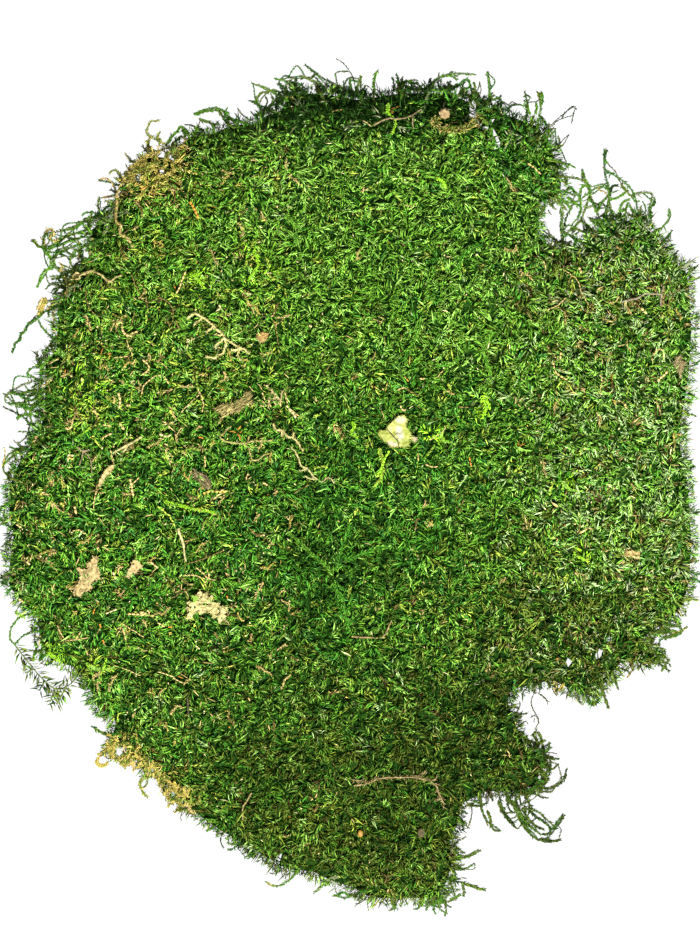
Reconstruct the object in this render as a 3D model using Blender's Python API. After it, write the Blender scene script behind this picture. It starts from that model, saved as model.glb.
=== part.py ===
"""Moss clump: a flat mat of green feather moss with frayed edge fronds, and dry litter lying on it.

Metres, +Z up. The mat lies on the ground, and the origin is on the ground under its middle. Plans are in
millimetres, X to the right and Y away from the viewer, seen from above.
"""

import math

import bmesh
import bpy
from mathutils import Vector, noise
from mathutils.bvhtree import BVHTree

MM = 0.001

# Driving sizes of the mat, in millimetres
RIM_HEIGHT = 4.0
BODY_HEIGHT = 21.0
BORDER_WIDTH = 20.0  # the rounded border, from the rim to the full height
CUSHION_WIDTH, CUSHION_HEIGHT = 42.0, 3.4
TUFT_WIDTH, TUFT_HEIGHT = 19.0, 2.2
THIN_SIDE_START, THIN_SIDE_END = 70.0, 155.0  # the mat thins out between these, towards +X
THIN_SIDE_SHARE = 0.72
SURFACE_STEP = 8.5  # spacing of the points that shape the top
TALLEST = 60.0
UNDER_GROUND = 10.0

# Edge fronds: thickness at the root and tip, and how they droop as they leave the mat, in millimetres
FROND_RADII = (1.35, 0.6)
HAIR_RADII = (0.8, 0.45)
TUFT_RADII = (1.7, 0.8)
FROND_LEVEL, FROND_LOWEST = 5.5, 2.4
FROND_DROOP = 0.16  # drop per millimetre away from the rim
FROND_WAVE, FROND_WAVE_WIDTH = 0.9, 26.0
FROND_CLEARANCE = 3.5  # fronds nearer than this are joined on separately

# Litter: the air between it and the mat, and its usual thicknesses, in millimetres
LITTER_GAP = 0.4
LEAF_THICKNESS = 0.7
SETTLE_SAMPLES = 5  # test points along each side of a triangle

MAT_OUTLINE = (
    (-76, 155), (-73, 159), (-61, 160), (-53, 164), (-44, 164), (-38, 168), (-32, 170), (-29, 177),
    (-19, 178), (-7, 177), (4, 175), (23, 178), (36, 178), (45, 178), (54, 174), (63, 172), (72, 168),
    (86, 163), (90, 157), (93, 151), (96, 142), (98, 134), (95, 128), (88, 126), (86, 118), (88, 111),
    (95, 108), (102, 109), (109, 115), (113, 119), (122, 120), (130, 122), (135, 117), (142, 110),
    (146, 102), (153, 98), (155, 88), (156, 70), (155, 52), (153, 38), (151, 27), (151, 16), (154, 4),
    (155, -11), (156, -27), (155, -43), (152, -56), (144, -63), (134, -70), (141, -76), (137, -83),
    (123, -82), (118, -89), (110, -98), (99, -94), (91, -90), (83, -92), (74, -94), (73, -98),
    (75, -103), (78, -111), (81, -117), (88, -120), (88, -125), (86, -137), (73, -140), (62, -140),
    (52, -145), (51, -152), (47, -161), (49, -169), (43, -186), (41, -188), (15, -188), (7, -187),
    (1, -183), (-7, -181), (-17, -176), (-29, -175), (-39, -169), (-51, -162), (-61, -156),
    (-71, -149), (-80, -141), (-87, -131), (-96, -126), (-102, -126), (-110, -121), (-109, -114),
    (-107, -107), (-116, -101), (-118, -94), (-124, -84), (-135, -81), (-141, -73), (-142, -61),
    (-155, -47), (-155, -37), (-153, -22), (-155, -16), (-155, -1), (-151, 10), (-142, 22),
    (-139, 34), (-139, 45), (-139, 56), (-134, 61), (-133, 75), (-132, 83), (-128, 88), (-128, 94),
    (-119, 100), (-120, 106), (-117, 117), (-108, 122), (-105, 132), (-103, 137), (-97, 145),
    (-90, 150), (-82, 149),
)

# Routes of the leafy fronds that leave the edge, clockwise from the upper left
FROND_ROUTES = (
    ((-98, 122), (-109, 122), (-119, 119), (-127, 115), (-137, 113)),
    ((-119, 119), (-128, 112), (-135, 106), (-135, 99), (-139, 92), (-141, 89)),
    ((-111, 121), (-113, 124), (-113, 129)),
    ((-99, 132), (-107, 136), (-113, 137)),
    ((-110, 110), (-122, 106), (-125, 100)),
    ((-49, 160), (-58, 169), (-65, 169), (-70, 167)),
    ((-30, 166), (-41, 171), (-45, 173)),
    ((-27, 172), (-35, 177), (-44, 181)),
    ((-22, 173), (-28, 181), (-34, 183)),
    ((-11, 172), (-17, 182), (-26, 183)),
    ((-2, 171), (-5, 179), (-12, 183), (-20, 189)),
    ((5, 171), (5, 178), (5, 184)),
    ((23, 173), (25, 181), (30, 181)),
    ((34, 172), (39, 182), (46, 185), (56, 185)),
    ((63, 167), (63, 178), (62, 186)),
    ((79, 161), (80, 171), (79, 177)),
    ((84, 158), (86, 169), (86, 175)),
    ((92, 139), (105, 137), (109, 129), (114, 116)),
    ((105, 137), (105, 142)),
    ((114, 118), (117, 130), (115, 142), (115, 151)),
    ((115, 142), (123, 137), (128, 131), (131, 118)),
    ((128, 131), (136, 131), (135, 124), (133, 115)),
    ((93, 130), (101, 127), (112, 134), (118, 132)),
    ((101, 127), (97, 118), (95, 105)),
    ((108, 130), (104, 119), (97, 112), (96, 106)),
    ((135, 112), (143, 118), (144, 124)),
    ((-126, 82), (-134, 79), (-141, 76), (-146, 70), (-150, 64), (-152, 60)),
    ((-130, 63), (-137, 69), (-141, 75)),
    ((-133, 48), (-144, 46), (-151, 43), (-155, 40), (-155, 37)),
    ((-155, 37), (-149, 36), (-142, 36), (-134, 37)),
    ((-134, 23), (-142, 26), (-148, 31), (-156, 35)),
    ((-134, 42), (-142, 41), (-149, 36), (-156, 41)),
    ((-134, 30), (-142, 33), (-147, 36)),
    ((-138, 14), (-144, 19), (-144, 23), (-149, 24)),
    ((-138, 19), (-148, 16), (-154, 13), (-156, 7), (-152, 3), (-147, 1)),
    ((-150, -7), (-157, -11), (-157, -16), (-150, -21)),
    ((-136, -58), (-147, -59), (-152, -64), (-153, -69), (-151, -72)),
    ((-135, -65), (-145, -67), (-151, -72)),
    ((-151, -72), (-144, -81), (-138, -88), (-132, -92), (-126, -90), (-119, -82)),
    ((-142, -83), (-146, -85)),
    ((-137, -88), (-140, -93)),
    ((-132, -91), (-135, -98)),
    ((-127, -90), (-132, -99)),
    ((-102, -112), (-110, -112), (-116, -109)),
    ((-22, -172), (-27, -178), (-33, -181), (-38, -179)),
    ((-4, -176), (-10, -178), (-16, -184)),
    ((8, -182), (-1, -186), (-7, -185)),
    ((19, -184), (20, -190), (18, -192)),
    ((39, -184), (36, -189), (33, -190)),
    ((40, -184), (44, -188), (50, -185)),
    ((44, -178), (53, -180), (61, -183)),
    ((45, -172), (52, -173), (56, -171)),
    ((44, -168), (53, -168), (59, -165)),
    ((58, -137), (61, -150), (68, -156)),
    ((66, -135), (70, -149), (74, -154)),
    ((73, -135), (77, -148), (81, -157), (88, -161), (95, -160)),
    ((88, -161), (93, -155), (97, -149)),
    ((77, -146), (84, -147), (90, -152), (93, -155)),
    ((83, -134), (90, -137), (96, -133), (98, -128)),
    ((85, -126), (91, -128), (94, -126)),
    ((83, -120), (84, -115), (84, -110)),
    ((74, -107), (77, -104), (80, -103)),
    ((105, -92), (109, -99), (112, -98)),
    ((113, -88), (115, -96), (117, -101)),
    ((118, -83), (121, -92)),
    ((134, -78), (141, -80), (143, -83)),
    ((140, -62), (148, -64), (149, -67), (143, -69), (135, -67)),
    ((143, -69), (148, -67), (152, -64)),
)

# Routes of the thin hairs and bare stems at the edge
HAIR_ROUTES = (
    ((-135, 106), (-139, 107), (-144, 110)),
    ((-100, 132), (-106, 130), (-112, 129)),
    ((-89, 146), (-96, 140), (-102, 140)),
    ((-78, 150), (-86, 155), (-91, 158), (-90, 163), (-86, 164)),
    ((-82, 146), (-90, 150), (-91, 154), (-89, 157)),
    ((-55, 157), (-63, 163), (-66, 164)),
    ((-66, 155), (-70, 161), (-74, 162)),
    ((3, 170), (2, 182), (-2, 189), (-6, 192)),
    ((11, 171), (11, 182), (13, 187)),
    ((24, 173), (24, 179), (24, 184)),
    ((86, 157), (93, 164), (101, 170), (100, 163)),
    ((90, 149), (96, 153), (99, 158)),
    ((140, 106), (144, 110), (145, 115)),
    ((-122, 86), (-128, 89), (-133, 88)),
    ((-84, -128), (-93, -133), (-94, -137), (-91, -141)),
    ((-78, -137), (-83, -139), (-81, -142), (-78, -143)),
    ((-54, -154), (-58, -159), (-57, -164)),
    ((-44, -160), (-50, -163), (-47, -168)),
    ((-28, -171), (-33, -175), (-36, -175)),
    ((55, -139), (55, -149), (53, -155)),
    ((84, -110), (85, -106), (82, -99), (84, -94), (90, -98)),
)

# Routes of the dry tan tufts at the edge
TUFT_ROUTES = (
    ((-105, -117), (-112, -122), (-114, -125), (-112, -127), (-109, -125)),
    ((-98, -121), (-103, -124), (-101, -128)),
)


class Surface:
    """The top of the finished mat, as a thing to lay litter on."""

    def __init__(self, mat):
        self.tree = BVHTree.FromObject(mat, bpy.context.evaluated_depsgraph_get())

    def height(self, x, y):
        """Height of the top at a place in metres, or None beside the mat."""
        place = self.tree.ray_cast(Vector((x, y, 1.0)), Vector((0.0, 0.0, -1.0)))[0]
        return None if place is None else place.z


def clear_scene():
    for item in list(bpy.data.objects):
        bpy.data.objects.remove(item, do_unlink=True)


def new_collection(name):
    collection = bpy.data.collections.new(name)
    bpy.context.scene.collection.children.link(collection)
    return collection


def linear(channel):
    """One sRGB channel, 0 to 1, as linear light."""
    return channel / 12.92 if channel <= 0.04045 else ((channel + 0.055) / 1.055) ** 2.4


def finish(name, hex_colour, roughness=0.85):
    """A plain Principled material of an sRGB colour written as six hex digits."""
    material = bpy.data.materials.new(name)
    material.use_nodes = True
    shader = material.node_tree.nodes["Principled BSDF"]
    colour = [linear(int(hex_colour[i : i + 2], 16) / 255) for i in (0, 2, 4)]
    shader.inputs["Base Color"].default_value = (*colour, 1.0)
    shader.inputs["Roughness"].default_value = roughness
    shader.inputs["Metallic"].default_value = 0.0
    return material


def add_object(name, mesh, collection):
    item = bpy.data.objects.new(name, mesh)
    collection.objects.link(item)
    return item


def make_cutter(item):
    item.hide_render = True
    item.display_type = "WIRE"


def welded_mesh(curve_object):
    """The mesh of a curve object with its caps welded on. The curve is removed."""
    graph = bpy.context.evaluated_depsgraph_get()
    mesh = bpy.data.meshes.new_from_object(curve_object.evaluated_get(graph))
    mesh.transform(curve_object.matrix_world)
    bpy.data.objects.remove(curve_object, do_unlink=True)
    work = bmesh.new()
    work.from_mesh(mesh)
    bmesh.ops.remove_doubles(work, verts=work.verts, dist=0.00001)
    work.to_mesh(mesh)
    work.free()
    return mesh


def add_spline(curve, points, radii):
    """One straight-sided spline through points in metres, with a radius in millimetres at each."""
    spline = curve.splines.new("POLY")
    spline.points.add(len(points) - 1)
    for point, place, radius in zip(spline.points, points, radii):
        point.co = (*place, 1.0)
        point.radius = radius


def strand_mesh(name, strands, collection):
    """Tapered closed four-sided tubes in one mesh. Each strand is a list of points and a list of radii."""
    curve = bpy.data.curves.new(name, "CURVE")
    curve.dimensions = "3D"
    curve.bevel_depth = MM
    curve.bevel_resolution = 0
    curve.use_fill_caps = True
    for points, radii in strands:
        add_spline(curve, points, radii)
    holder = add_object(name, curve, collection)
    bpy.context.view_layer.update()
    return welded_mesh(holder)


def plate_mesh(name, outline, low, high, collection):
    """A flat outline in millimetres made solid between two heights in millimetres."""
    curve = bpy.data.curves.new(name, "CURVE")
    curve.dimensions = "2D"
    curve.fill_mode = "BOTH"
    curve.extrude = (high - low) / 2 * MM
    spline = curve.splines.new("POLY")
    spline.points.add(len(outline) - 1)
    spline.use_cyclic_u = True
    for point, (x, y) in zip(spline.points, outline):
        point.co = (x * MM, y * MM, 0.0, 1.0)
    holder = add_object(name, curve, collection)
    holder.location.z = (low + high) / 2 * MM
    bpy.context.view_layer.update()
    return welded_mesh(holder)


def boolean(item, operation, other, itself=False):
    step = item.modifiers.new(operation.title(), "BOOLEAN")
    step.operation = operation
    step.object = other
    step.solver = "EXACT"
    step.use_self = itself


def rim_distance(x, y):
    """How far a place is from the mat's outline, in millimetres: plus inside it, minus outside."""
    nearest = math.inf
    inside = False
    previous = MAT_OUTLINE[-1]
    for corner in MAT_OUTLINE:
        (x0, y0), (x1, y1) = previous, corner
        along = ((x - x0) * (x1 - x0) + (y - y0) * (y1 - y0)) / ((x1 - x0) ** 2 + (y1 - y0) ** 2)
        along = min(max(along, 0.0), 1.0)
        nearest = min(nearest, math.hypot(x - x0 - along * (x1 - x0), y - y0 - along * (y1 - y0)))
        if (y0 > y) != (y1 > y) and x < (x1 - x0) * (y - y0) / (y1 - y0) + x0:
            inside = not inside
        previous = corner
    return nearest if inside else -nearest


def smooth_share(value, start, end):
    """0 before start, 1 after end, and an even S between."""
    share = min(max((value - start) / (end - start), 0.0), 1.0)
    return share * share * (3.0 - 2.0 * share)


def mat_height(x, y):
    """Height of the mat's top at a place, in millimetres: a rounded border, cushions and small tufts."""
    inside = rim_distance(x, y)
    outward = 1.0 - min(max(inside / BORDER_WIDTH, 0.0), 1.0)
    border = math.sqrt(1.0 - outward * outward)
    body = BODY_HEIGHT * (1.0 - (1.0 - THIN_SIDE_SHARE) * smooth_share(x, THIN_SIDE_START, THIN_SIDE_END))
    cushions = CUSHION_HEIGHT * noise.noise(Vector((x, y, 0.0)) / CUSHION_WIDTH)
    tufts = TUFT_HEIGHT * noise.noise(Vector((x, y, 90.0)) / TUFT_WIDTH)
    return RIM_HEIGHT + border * (body - RIM_HEIGHT + cushions + tufts) + min(inside, 0.0) * 0.1


def frond_level(x, y):
    """Height of the edge fronds' middle line, in millimetres. Fronds that cross meet at one height."""
    outside = max(-rim_distance(x, y), 0.0)
    wave = FROND_WAVE * noise.noise(Vector((x, y, 40.0)) / FROND_WAVE_WIDTH)
    return max(FROND_LEVEL - FROND_DROOP * outside + wave, FROND_LOWEST)


def make_top(collection):
    """The shaped top as an open sheet, closed down to below the ground."""
    columns = round((max(x for x, _ in MAT_OUTLINE) - min(x for x, _ in MAT_OUTLINE)) / SURFACE_STEP) + 2
    rows = round((max(y for _, y in MAT_OUTLINE) - min(y for _, y in MAT_OUTLINE)) / SURFACE_STEP) + 2
    work = bmesh.new()
    bmesh.ops.create_grid(work, x_segments=columns, y_segments=rows, size=0.5)
    for vertex in work.verts:
        x = vertex.co.x * columns * SURFACE_STEP
        y = vertex.co.y * rows * SURFACE_STEP
        vertex.co = Vector((x, y, mat_height(x, y))) * MM
    rim = [edge for edge in work.edges if edge.is_boundary]
    skirt = bmesh.ops.extrude_edge_only(work, edges=rim)["geom"]
    for vertex in (part for part in skirt if isinstance(part, bmesh.types.BMVert)):
        vertex.co.z = -UNDER_GROUND * MM
    base = [edge for edge in work.edges if edge.is_boundary]
    bmesh.ops.contextual_create(work, geom=base)
    bmesh.ops.recalc_face_normals(work, faces=work.faces)
    mesh = bpy.data.meshes.new("moss_mat")
    work.to_mesh(mesh)
    work.free()
    return add_object("moss_mat", mesh, collection)


def tapered(route, radii, level):
    """A strand along a plan route: its points in metres and a radius in millimetres at each."""
    points = [(x * MM, y * MM, level(x, y) * MM) for x, y in route]
    shares = [i / (len(route) - 1) for i in range(len(route))]
    return points, [radii[0] + (radii[1] - radii[0]) * share for share in shares]


def close_together(first, second):
    """Whether two strands come near enough to touch, judged at points along both."""
    near = FROND_CLEARANCE * MM
    return any((a - b).length < near for a in places_along(first[0]) for b in places_along(second[0]))


def places_along(points):
    """A strand's points, with three more between each pair."""
    corners = [Vector(point) for point in points]
    return [a.lerp(b, i / 4) for a, b in zip(corners, corners[1:]) for i in range(4)] + [corners[-1]]


def sets_apart(strands):
    """Shares strands out into sets whose members don't touch each other."""
    sets = []
    for strand in strands:
        free = (group for group in sets if not any(close_together(strand, other) for other in group))
        group = next(free, None)
        if group is None:
            group = []
            sets.append(group)
        group.append(strand)
    return sets


def make_mat(parts, cutters):
    """The mat's top cut to its outline, with the edge fronds joined on, one set after another."""
    mat = make_top(parts)
    prism = plate_mesh("mat_outline", MAT_OUTLINE, 0.0, TALLEST, cutters)
    outline = add_object("mat_outline", prism, cutters)
    make_cutter(outline)
    boolean(mat, "INTERSECT", outline)
    strands = [tapered(route, FROND_RADII, frond_level) for route in FROND_ROUTES]
    strands += [tapered(route, HAIR_RADII, frond_level) for route in HAIR_ROUTES]
    strands += [tapered(route, TUFT_RADII, frond_level) for route in TUFT_ROUTES]
    for number, group in enumerate(sets_apart(strands), start=1):
        name = f"edge_fronds_{number}"
        fronds = add_object(name, strand_mesh(name, group, cutters), cutters)
        make_cutter(fronds)
        boolean(mat, "UNION", fronds)
    mat.data.materials.append(finish("green_moss", "3B6B24", 0.9))
    bpy.context.view_layer.update()
    return mat


def settle(item, surface):
    """Lowers or lifts a piece of litter until the smallest air gap under it is LITTER_GAP."""
    bpy.context.view_layer.update()
    graph = bpy.context.evaluated_depsgraph_get()
    mesh = item.evaluated_get(graph).to_mesh()
    mesh.calc_loop_triangles()
    smallest = math.inf
    for triangle in mesh.loop_triangles:
        a, b, c = (mesh.vertices[i].co for i in triangle.vertices)
        for i in range(SETTLE_SAMPLES + 1):
            for j in range(SETTLE_SAMPLES + 1 - i):
                place = a + (b - a) * (i / SETTLE_SAMPLES) + (c - a) * (j / SETTLE_SAMPLES)
                ground = surface.height(place.x, place.y)
                if ground is not None:
                    smallest = min(smallest, place.z - ground)
    item.location.z += LITTER_GAP * MM - smallest


def leaf_scrap(name, outline, colour, parts, surface, thickness=LEAF_THICKNESS, curl=0.012):
    """A dry leaf scrap: a plate tilted to the mat under it, with its edges curled up a little.

    curl is the rise of the edge per millimetre squared away from the scrap's middle.
    """
    mesh = plate_mesh(name, outline, 0.0, thickness, parts)
    middle_x = sum(x for x, _ in outline) / len(outline)
    middle_y = sum(y for _, y in outline) / len(outline)
    reach = max(math.hypot(x - middle_x, y - middle_y) for x, y in outline) * MM
    x0, y0 = middle_x * MM, middle_y * MM
    middle = surface.height(x0, y0)
    slope_x = (surface.height(x0 + reach, y0) - surface.height(x0 - reach, y0)) / (2.0 * reach)
    slope_y = (surface.height(x0, y0 + reach) - surface.height(x0, y0 - reach)) / (2.0 * reach)
    for vertex in mesh.vertices:
        dx, dy = vertex.co.x - x0, vertex.co.y - y0
        vertex.co.z += middle + slope_x * dx + slope_y * dy + curl * (dx * dx + dy * dy) / MM
    scrap = add_object(name, mesh, parts)
    mesh.materials.append(finish(name, colour))
    settle(scrap, surface)
    return scrap


def twig(name, routes, radii, colour, parts, cutters, surface):
    """A dry twig on the mat: the first route is its stem, the others are side shoots that start on it."""

    def level(x, y):
        return surface.height(x * MM, y * MM) / MM + radii[0] + LITTER_GAP

    stem = add_object(name, strand_mesh(name, [tapered(routes[0], radii, level)], parts), parts)
    if len(routes) > 1:
        side_radii = (radii[0] * 0.85, radii[1])
        shoots = [tapered(route, side_radii, level) for route in routes[1:]]
        mesh = strand_mesh(name + "_shoots", shoots, cutters)
        side = add_object(name + "_shoots", mesh, cutters)
        make_cutter(side)
        boolean(stem, "UNION", side, itself=True)
        side.parent = stem
    stem.data.materials.append(finish(name, colour))
    settle(stem, surface)
    return stem


def pebble(name, centre, half_sizes, turn, colour, parts, surface, rough=0.0):
    """A seed, disc or dried clump: a ball of three half sizes in millimetres, made lumpy by rough."""
    work = bmesh.new()
    bmesh.ops.create_icosphere(work, subdivisions=2, radius=1.0)
    for vertex in work.verts:
        vertex.co *= 1.0 + rough * noise.noise(vertex.co * 1.7 + Vector((*centre, 0.0)))
    mesh = bpy.data.meshes.new(name)
    work.to_mesh(mesh)
    work.free()
    x0, y0 = centre[0] * MM, centre[1] * MM
    reach = half_sizes[0] * MM
    middle = surface.height(x0, y0)
    slope_x = (surface.height(x0 + reach, y0) - surface.height(x0 - reach, y0)) / (2.0 * reach)
    slope_y = (surface.height(x0, y0 + reach) - surface.height(x0, y0 - reach)) / (2.0 * reach)
    for vertex in mesh.vertices:
        x, y, z = (vertex.co[i] * half_sizes[i] * MM for i in range(3))
        dx = x * math.cos(turn) - y * math.sin(turn)
        dy = x * math.sin(turn) + y * math.cos(turn)
        vertex.co = Vector((x0 + dx, y0 + dy, middle + z + slope_x * dx + slope_y * dy))
    item = add_object(name, mesh, parts)
    mesh.materials.append(finish(name, colour))
    settle(item, surface)
    return item


def make_leaf_scraps(parts, surface):
    leaf_scrap(
        "pale_leaf",
        (
            (12.6, 22.7), (13.7, 24.3), (16.4, 24.3), (17.4, 26.8), (21.0, 29.6), (22.3, 31.4),
            (23.0, 30.8), (24.1, 31.2), (25.6, 29.8), (26.3, 28.5), (24.8, 26.8), (26.4, 24.7),
            (28.2, 21.9), (27.6, 21.2), (30.7, 21.2), (30.5, 19.5), (29.3, 18.7), (27.0, 19.8),
            (26.8, 17.8), (25.6, 16.8), (23.9, 16.4), (21.5, 17.3), (20.0, 16.6), (18.0, 17.0),
            (17.0, 19.0), (14.8, 20.0),
        ),
        "E6E0A0", parts, surface,
    )
    leaf_scrap(
        "tan_leaf_left",
        (
            (-115, -32), (-112.7, -32), (-113, -36), (-111.4, -40.3), (-113, -43), (-115.9, -43.4),
            (-115.4, -45.7), (-116.4, -47.9), (-118.6, -47), (-121.3, -50.6), (-123, -49.7),
            (-123, -45.7), (-120.8, -42.5), (-121.8, -37.6), (-117.7, -37.6), (-117.2, -35.3),
        ),
        "D3AE77", parts, surface,
    )
    leaf_scrap(
        "tan_leaf_middle",
        (
            (-100.1, -41.2), (-98.8, -37.6), (-97, -33.5), (-94.7, -34), (-92.9, -36.7),
            (-95.2, -38.9), (-97.4, -39.8), (-98.8, -42),
        ),
        "CFA673", parts, surface,
    )
    leaf_scrap(
        "tan_leaf_lower",
        (
            (-73, -51), (-69, -48), (-67, -47), (-66, -49), (-65, -48), (-64, -50), (-62.9, -48),
            (-63, -51), (-61, -50), (-62, -52), (-61, -54), (-58, -54), (-54, -55), (-56, -56),
            (-54, -58), (-55, -62), (-54, -63), (-58.5, -60), (-62, -61), (-61, -59), (-63, -58),
            (-65.5, -59), (-65.5, -60.5), (-68.5, -59), (-72, -60), (-74, -59), (-73, -56),
            (-73, -54), (-70.5, -52.7),
        ),
        "E0CD92", parts, surface,
    )
    leaf_scrap(
        "tan_leaf_upper",
        ((-41.6, 67.5), (-39, 68.6), (-36.7, 67.9), (-37.1, 65), (-39.8, 63.7), (-41.2, 65.2)),
        "C99A5F", parts, surface,
    )
    leaf_scrap(
        "tan_leaf_right",
        ((123.4, -29.9), (126.2, -29.7), (130.5, -30.1), (130.3, -33.1), (127.1, -32.6), (123.6, -31.7)),
        "CDB07A", parts, surface,
    )
    leaf_scrap(
        "left_leaf",
        (
            (-107.8, 8.3), (-105.1, 9.2), (-106.9, 5.6), (-109.6, 2.9), (-111.8, -1.1), (-113, -1),
            (-111.4, 3.4), (-109.6, 6.5),
        ),
        "CFA36C", parts, surface,
    )
    leaf_scrap(
        "brown_flake",
        (
            (-70, 7.4), (-67.5, 5.2), (-64.8, 4.5), (-61.9, 1.6), (-62.3, -2.2), (-65.2, -1),
            (-68, 1.1), (-69.9, 3.6),
        ),
        "5E4630", parts, surface,
    )
    leaf_scrap(
        "fibre_flake",
        (
            (-61, 34), (-58.3, 35.5), (-53, 36.6), (-50, 37.7), (-48, 39.2), (-46, 42.2), (-44, 40.3),
            (-44.8, 37.7), (-42.6, 36.2), (-46.7, 35.5), (-49.3, 33.2), (-55.3, 31.4), (-59, 27.2),
            (-57.2, 31.4),
        ),
        "8A7A54", parts, surface,
    )
    leaf_scrap(
        "right_flake",
        (
            (148.7, 58.3), (150.4, 55.6), (151.9, 54.7), (150.1, 52.9), (148.7, 47.5), (147.4, 51.5),
            (145.8, 53.3), (146.5, 56.9),
        ),
        "9A7350", parts, surface,
    )


def make_twigs(parts, cutters, surface):
    twig(
        "dry_fern_sprig",
        (
            (
                (-73, 74.3), (-69.3, 76.5), (-66.5, 75.4), (-63.7, 73.4), (-61.1, 71.1), (-59, 69.2),
                (-56.8, 67.4), (-56.2, 65.7), (-53.6, 64.2), (-50.8, 62.3), (-48.6, 61.4),
                (-46.5, 60.1), (-45, 58.8),
            ),
            ((-66.5, 75.4), (-66.7, 73.9), (-69.7, 71.5)),
            ((-61.1, 71.1), (-62.3, 69.6), (-64.4, 68.3)),
            ((-56.8, 67.4), (-58.4, 66.9), (-60.3, 67.4)),
            ((-56.2, 65.7), (-58.1, 64), (-59.8, 62.7), (-60.3, 61.2)),
            (
                (-56.2, 65.7), (-55.4, 63.5), (-55.7, 61.4), (-56.8, 59), (-59, 58), (-60.3, 56.7),
                (-64.1, 57.3),
            ),
            ((-48.6, 61.4), (-50.8, 60.5), (-53.1, 60.3)),
            ((-48.6, 61.4), (-50.2, 58.6), (-49, 55.6)),
        ),
        (0.9, 0.5), "D2B878", parts, cutters, surface,
    )
    twig(
        "bristly_twig",
        (
            (
                (2, -135.1), (8.3, -134), (12.8, -131.9), (17.8, -131.5), (23.6, -131.3), (29, -131.3),
                (33.6, -132.3), (36.1, -132.9), (39, -135.4), (39.9, -137.9), (41.2, -140.8),
                (42.5, -143.6),
            ),
            ((8.3, -134), (5.2, -132.9), (1.4, -132.4)),
            ((29, -131.3), (32, -130.6), (34.2, -128.6)),
            ((36.1, -132.9), (38.2, -132.4), (39.3, -130.9)),
            ((41.2, -140.8), (38.3, -141.4)),
        ),
        (0.8, 0.5), "B58D58", parts, cutters, surface,
    )
    twig(
        "thin_stick",
        (((1.1, -68.2), (8, -68.6), (15.1, -68.2), (18.7, -61)),),
        (0.6, 0.45), "B3875A", parts, cutters, surface,
    )
    twig(
        "brown_stem",
        (((-76.7, -20), (-74.5, -27), (-73.6, -34.4)),),
        (0.8, 0.6), "A98A55", parts, cutters, surface,
    )
    twig(
        "thready_twig",
        (
            (
                (-53.1, 26.1), (-55.3, 24.3), (-57.9, 20.9), (-53.1, 18.7), (-47.8, 18.3), (-43.4, 19.4),
                (-40.3, 19.6), (-36.7, 19.6), (-34.6, 20),
            ),
            ((-47.8, 18.3), (-45.4, 16.8), (-44.5, 14.2), (-43.4, 10.8), (-40.4, 11.6), (-36.7, 14.2)),
            ((-45.6, 18.9), (-45.2, 21.6)),
        ),
        (0.7, 0.45), "BE9A66", parts, cutters, surface,
    )
    twig(
        "forked_twig_upper",
        (
            (
                (-34.1, 27.2), (-32.9, 24.6), (-30.3, 24.3), (-27.7, 21.6), (-25.1, 20.9), (-23.2, 18.7),
                (-20.6, 14.9),
            ),
            ((-30.3, 24.3), (-30.4, 21.4)),
            ((-25.1, 20.9), (-25, 23.4)),
        ),
        (0.85, 0.55), "C9AB72", parts, cutters, surface,
    )
    twig(
        "forked_twig_lower",
        (
            (
                (-26.2, 17.2), (-23.6, 13.5), (-21.4, 8.2), (-18.8, 7.1), (-16.5, 4.1), (-14.3, 2.3),
                (-12.8, 1.1), (-9, 3), (-6.8, 0.4),
            ),
            ((-18.8, 7.1), (-22.5, 6)),
            ((-14.3, 2.3), (-17.5, 2.6), (-20.3, 3.7)),
        ),
        (0.75, 0.5), "CBB07A", parts, cutters, surface,
    )
    twig(
        "bristle_bunch",
        (
            ((-37.5, 44.5), (-35.8, 43), (-32.6, 39.8), (-30.4, 37.1)),
            ((-34.6, 41.8), (-35.9, 38.5), (-36.5, 34.4)),
            ((-33.4, 40.6), (-34.2, 38), (-32.9, 35.8)),
            ((-30.8, 37.6), (-29.9, 42.5)),
        ),
        (0.8, 0.5), "CBAA70", parts, cutters, surface,
    )
    twig(
        "left_twig",
        (
            ((-92.9, 21.4), (-99, 18), (-106, 14.2)),
            ((-99, 18), (-101.5, 14.5)),
        ),
        (0.8, 0.5), "B58B5C", parts, cutters, surface,
    )
    twig(
        "far_left_twig",
        (
            ((-116.5, 15.5), (-119.5, 15.1), (-122.2, 16.9)),
            ((-119.5, 15.1), (-120.4, 10.6), (-121.3, 8.3)),
            ((-119.5, 15.1), (-116, 11), (-115.5, 3.5)),
        ),
        (0.8, 0.5), "A67C55", parts, cutters, surface,
    )
    twig(
        "low_twig",
        (((-43.9, -138.4), (-46.1, -142), (-47.9, -145.1), (-47.9, -150.5)),),
        (0.8, 0.5), "BD9661", parts, cutters, surface,
    )
    twig("short_stick", (((-72.7, -95.6), (-72.2, -103.3)),), (0.8, 0.6), "5B4A35", parts, cutters, surface)
    twig(
        "edge_twig",
        (((-124.4, 93.8), (-117.2, 95.6), (-112.7, 95.2), (-107.3, 91.1)),),
        (0.8, 0.5), "A87F4F", parts, cutters, surface,
    )
    twig(
        "right_twig",
        (
            ((122.2, 82.1), (125.6, 82.8), (129.6, 83.8), (132.8, 85.6), (137.3, 85.6), (140.2, 85.5)),
            ((140.2, 85.5), (141.1, 89.3)),
            ((140.2, 85.5), (139.7, 80.3)),
        ),
        (0.95, 0.8), "8A7257", parts, cutters, surface,
    )
    twig(
        "top_twig",
        (
            ((11, 161.3), (16.9, 164), (23.2, 164), (28.1, 165.4)),
            ((28.1, 165.4), (28.6, 159.5)),
            ((28.1, 165.4), (32.2, 168.5)),
        ),
        (0.7, 0.5), "A8875A", parts, cutters, surface,
    )


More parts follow.
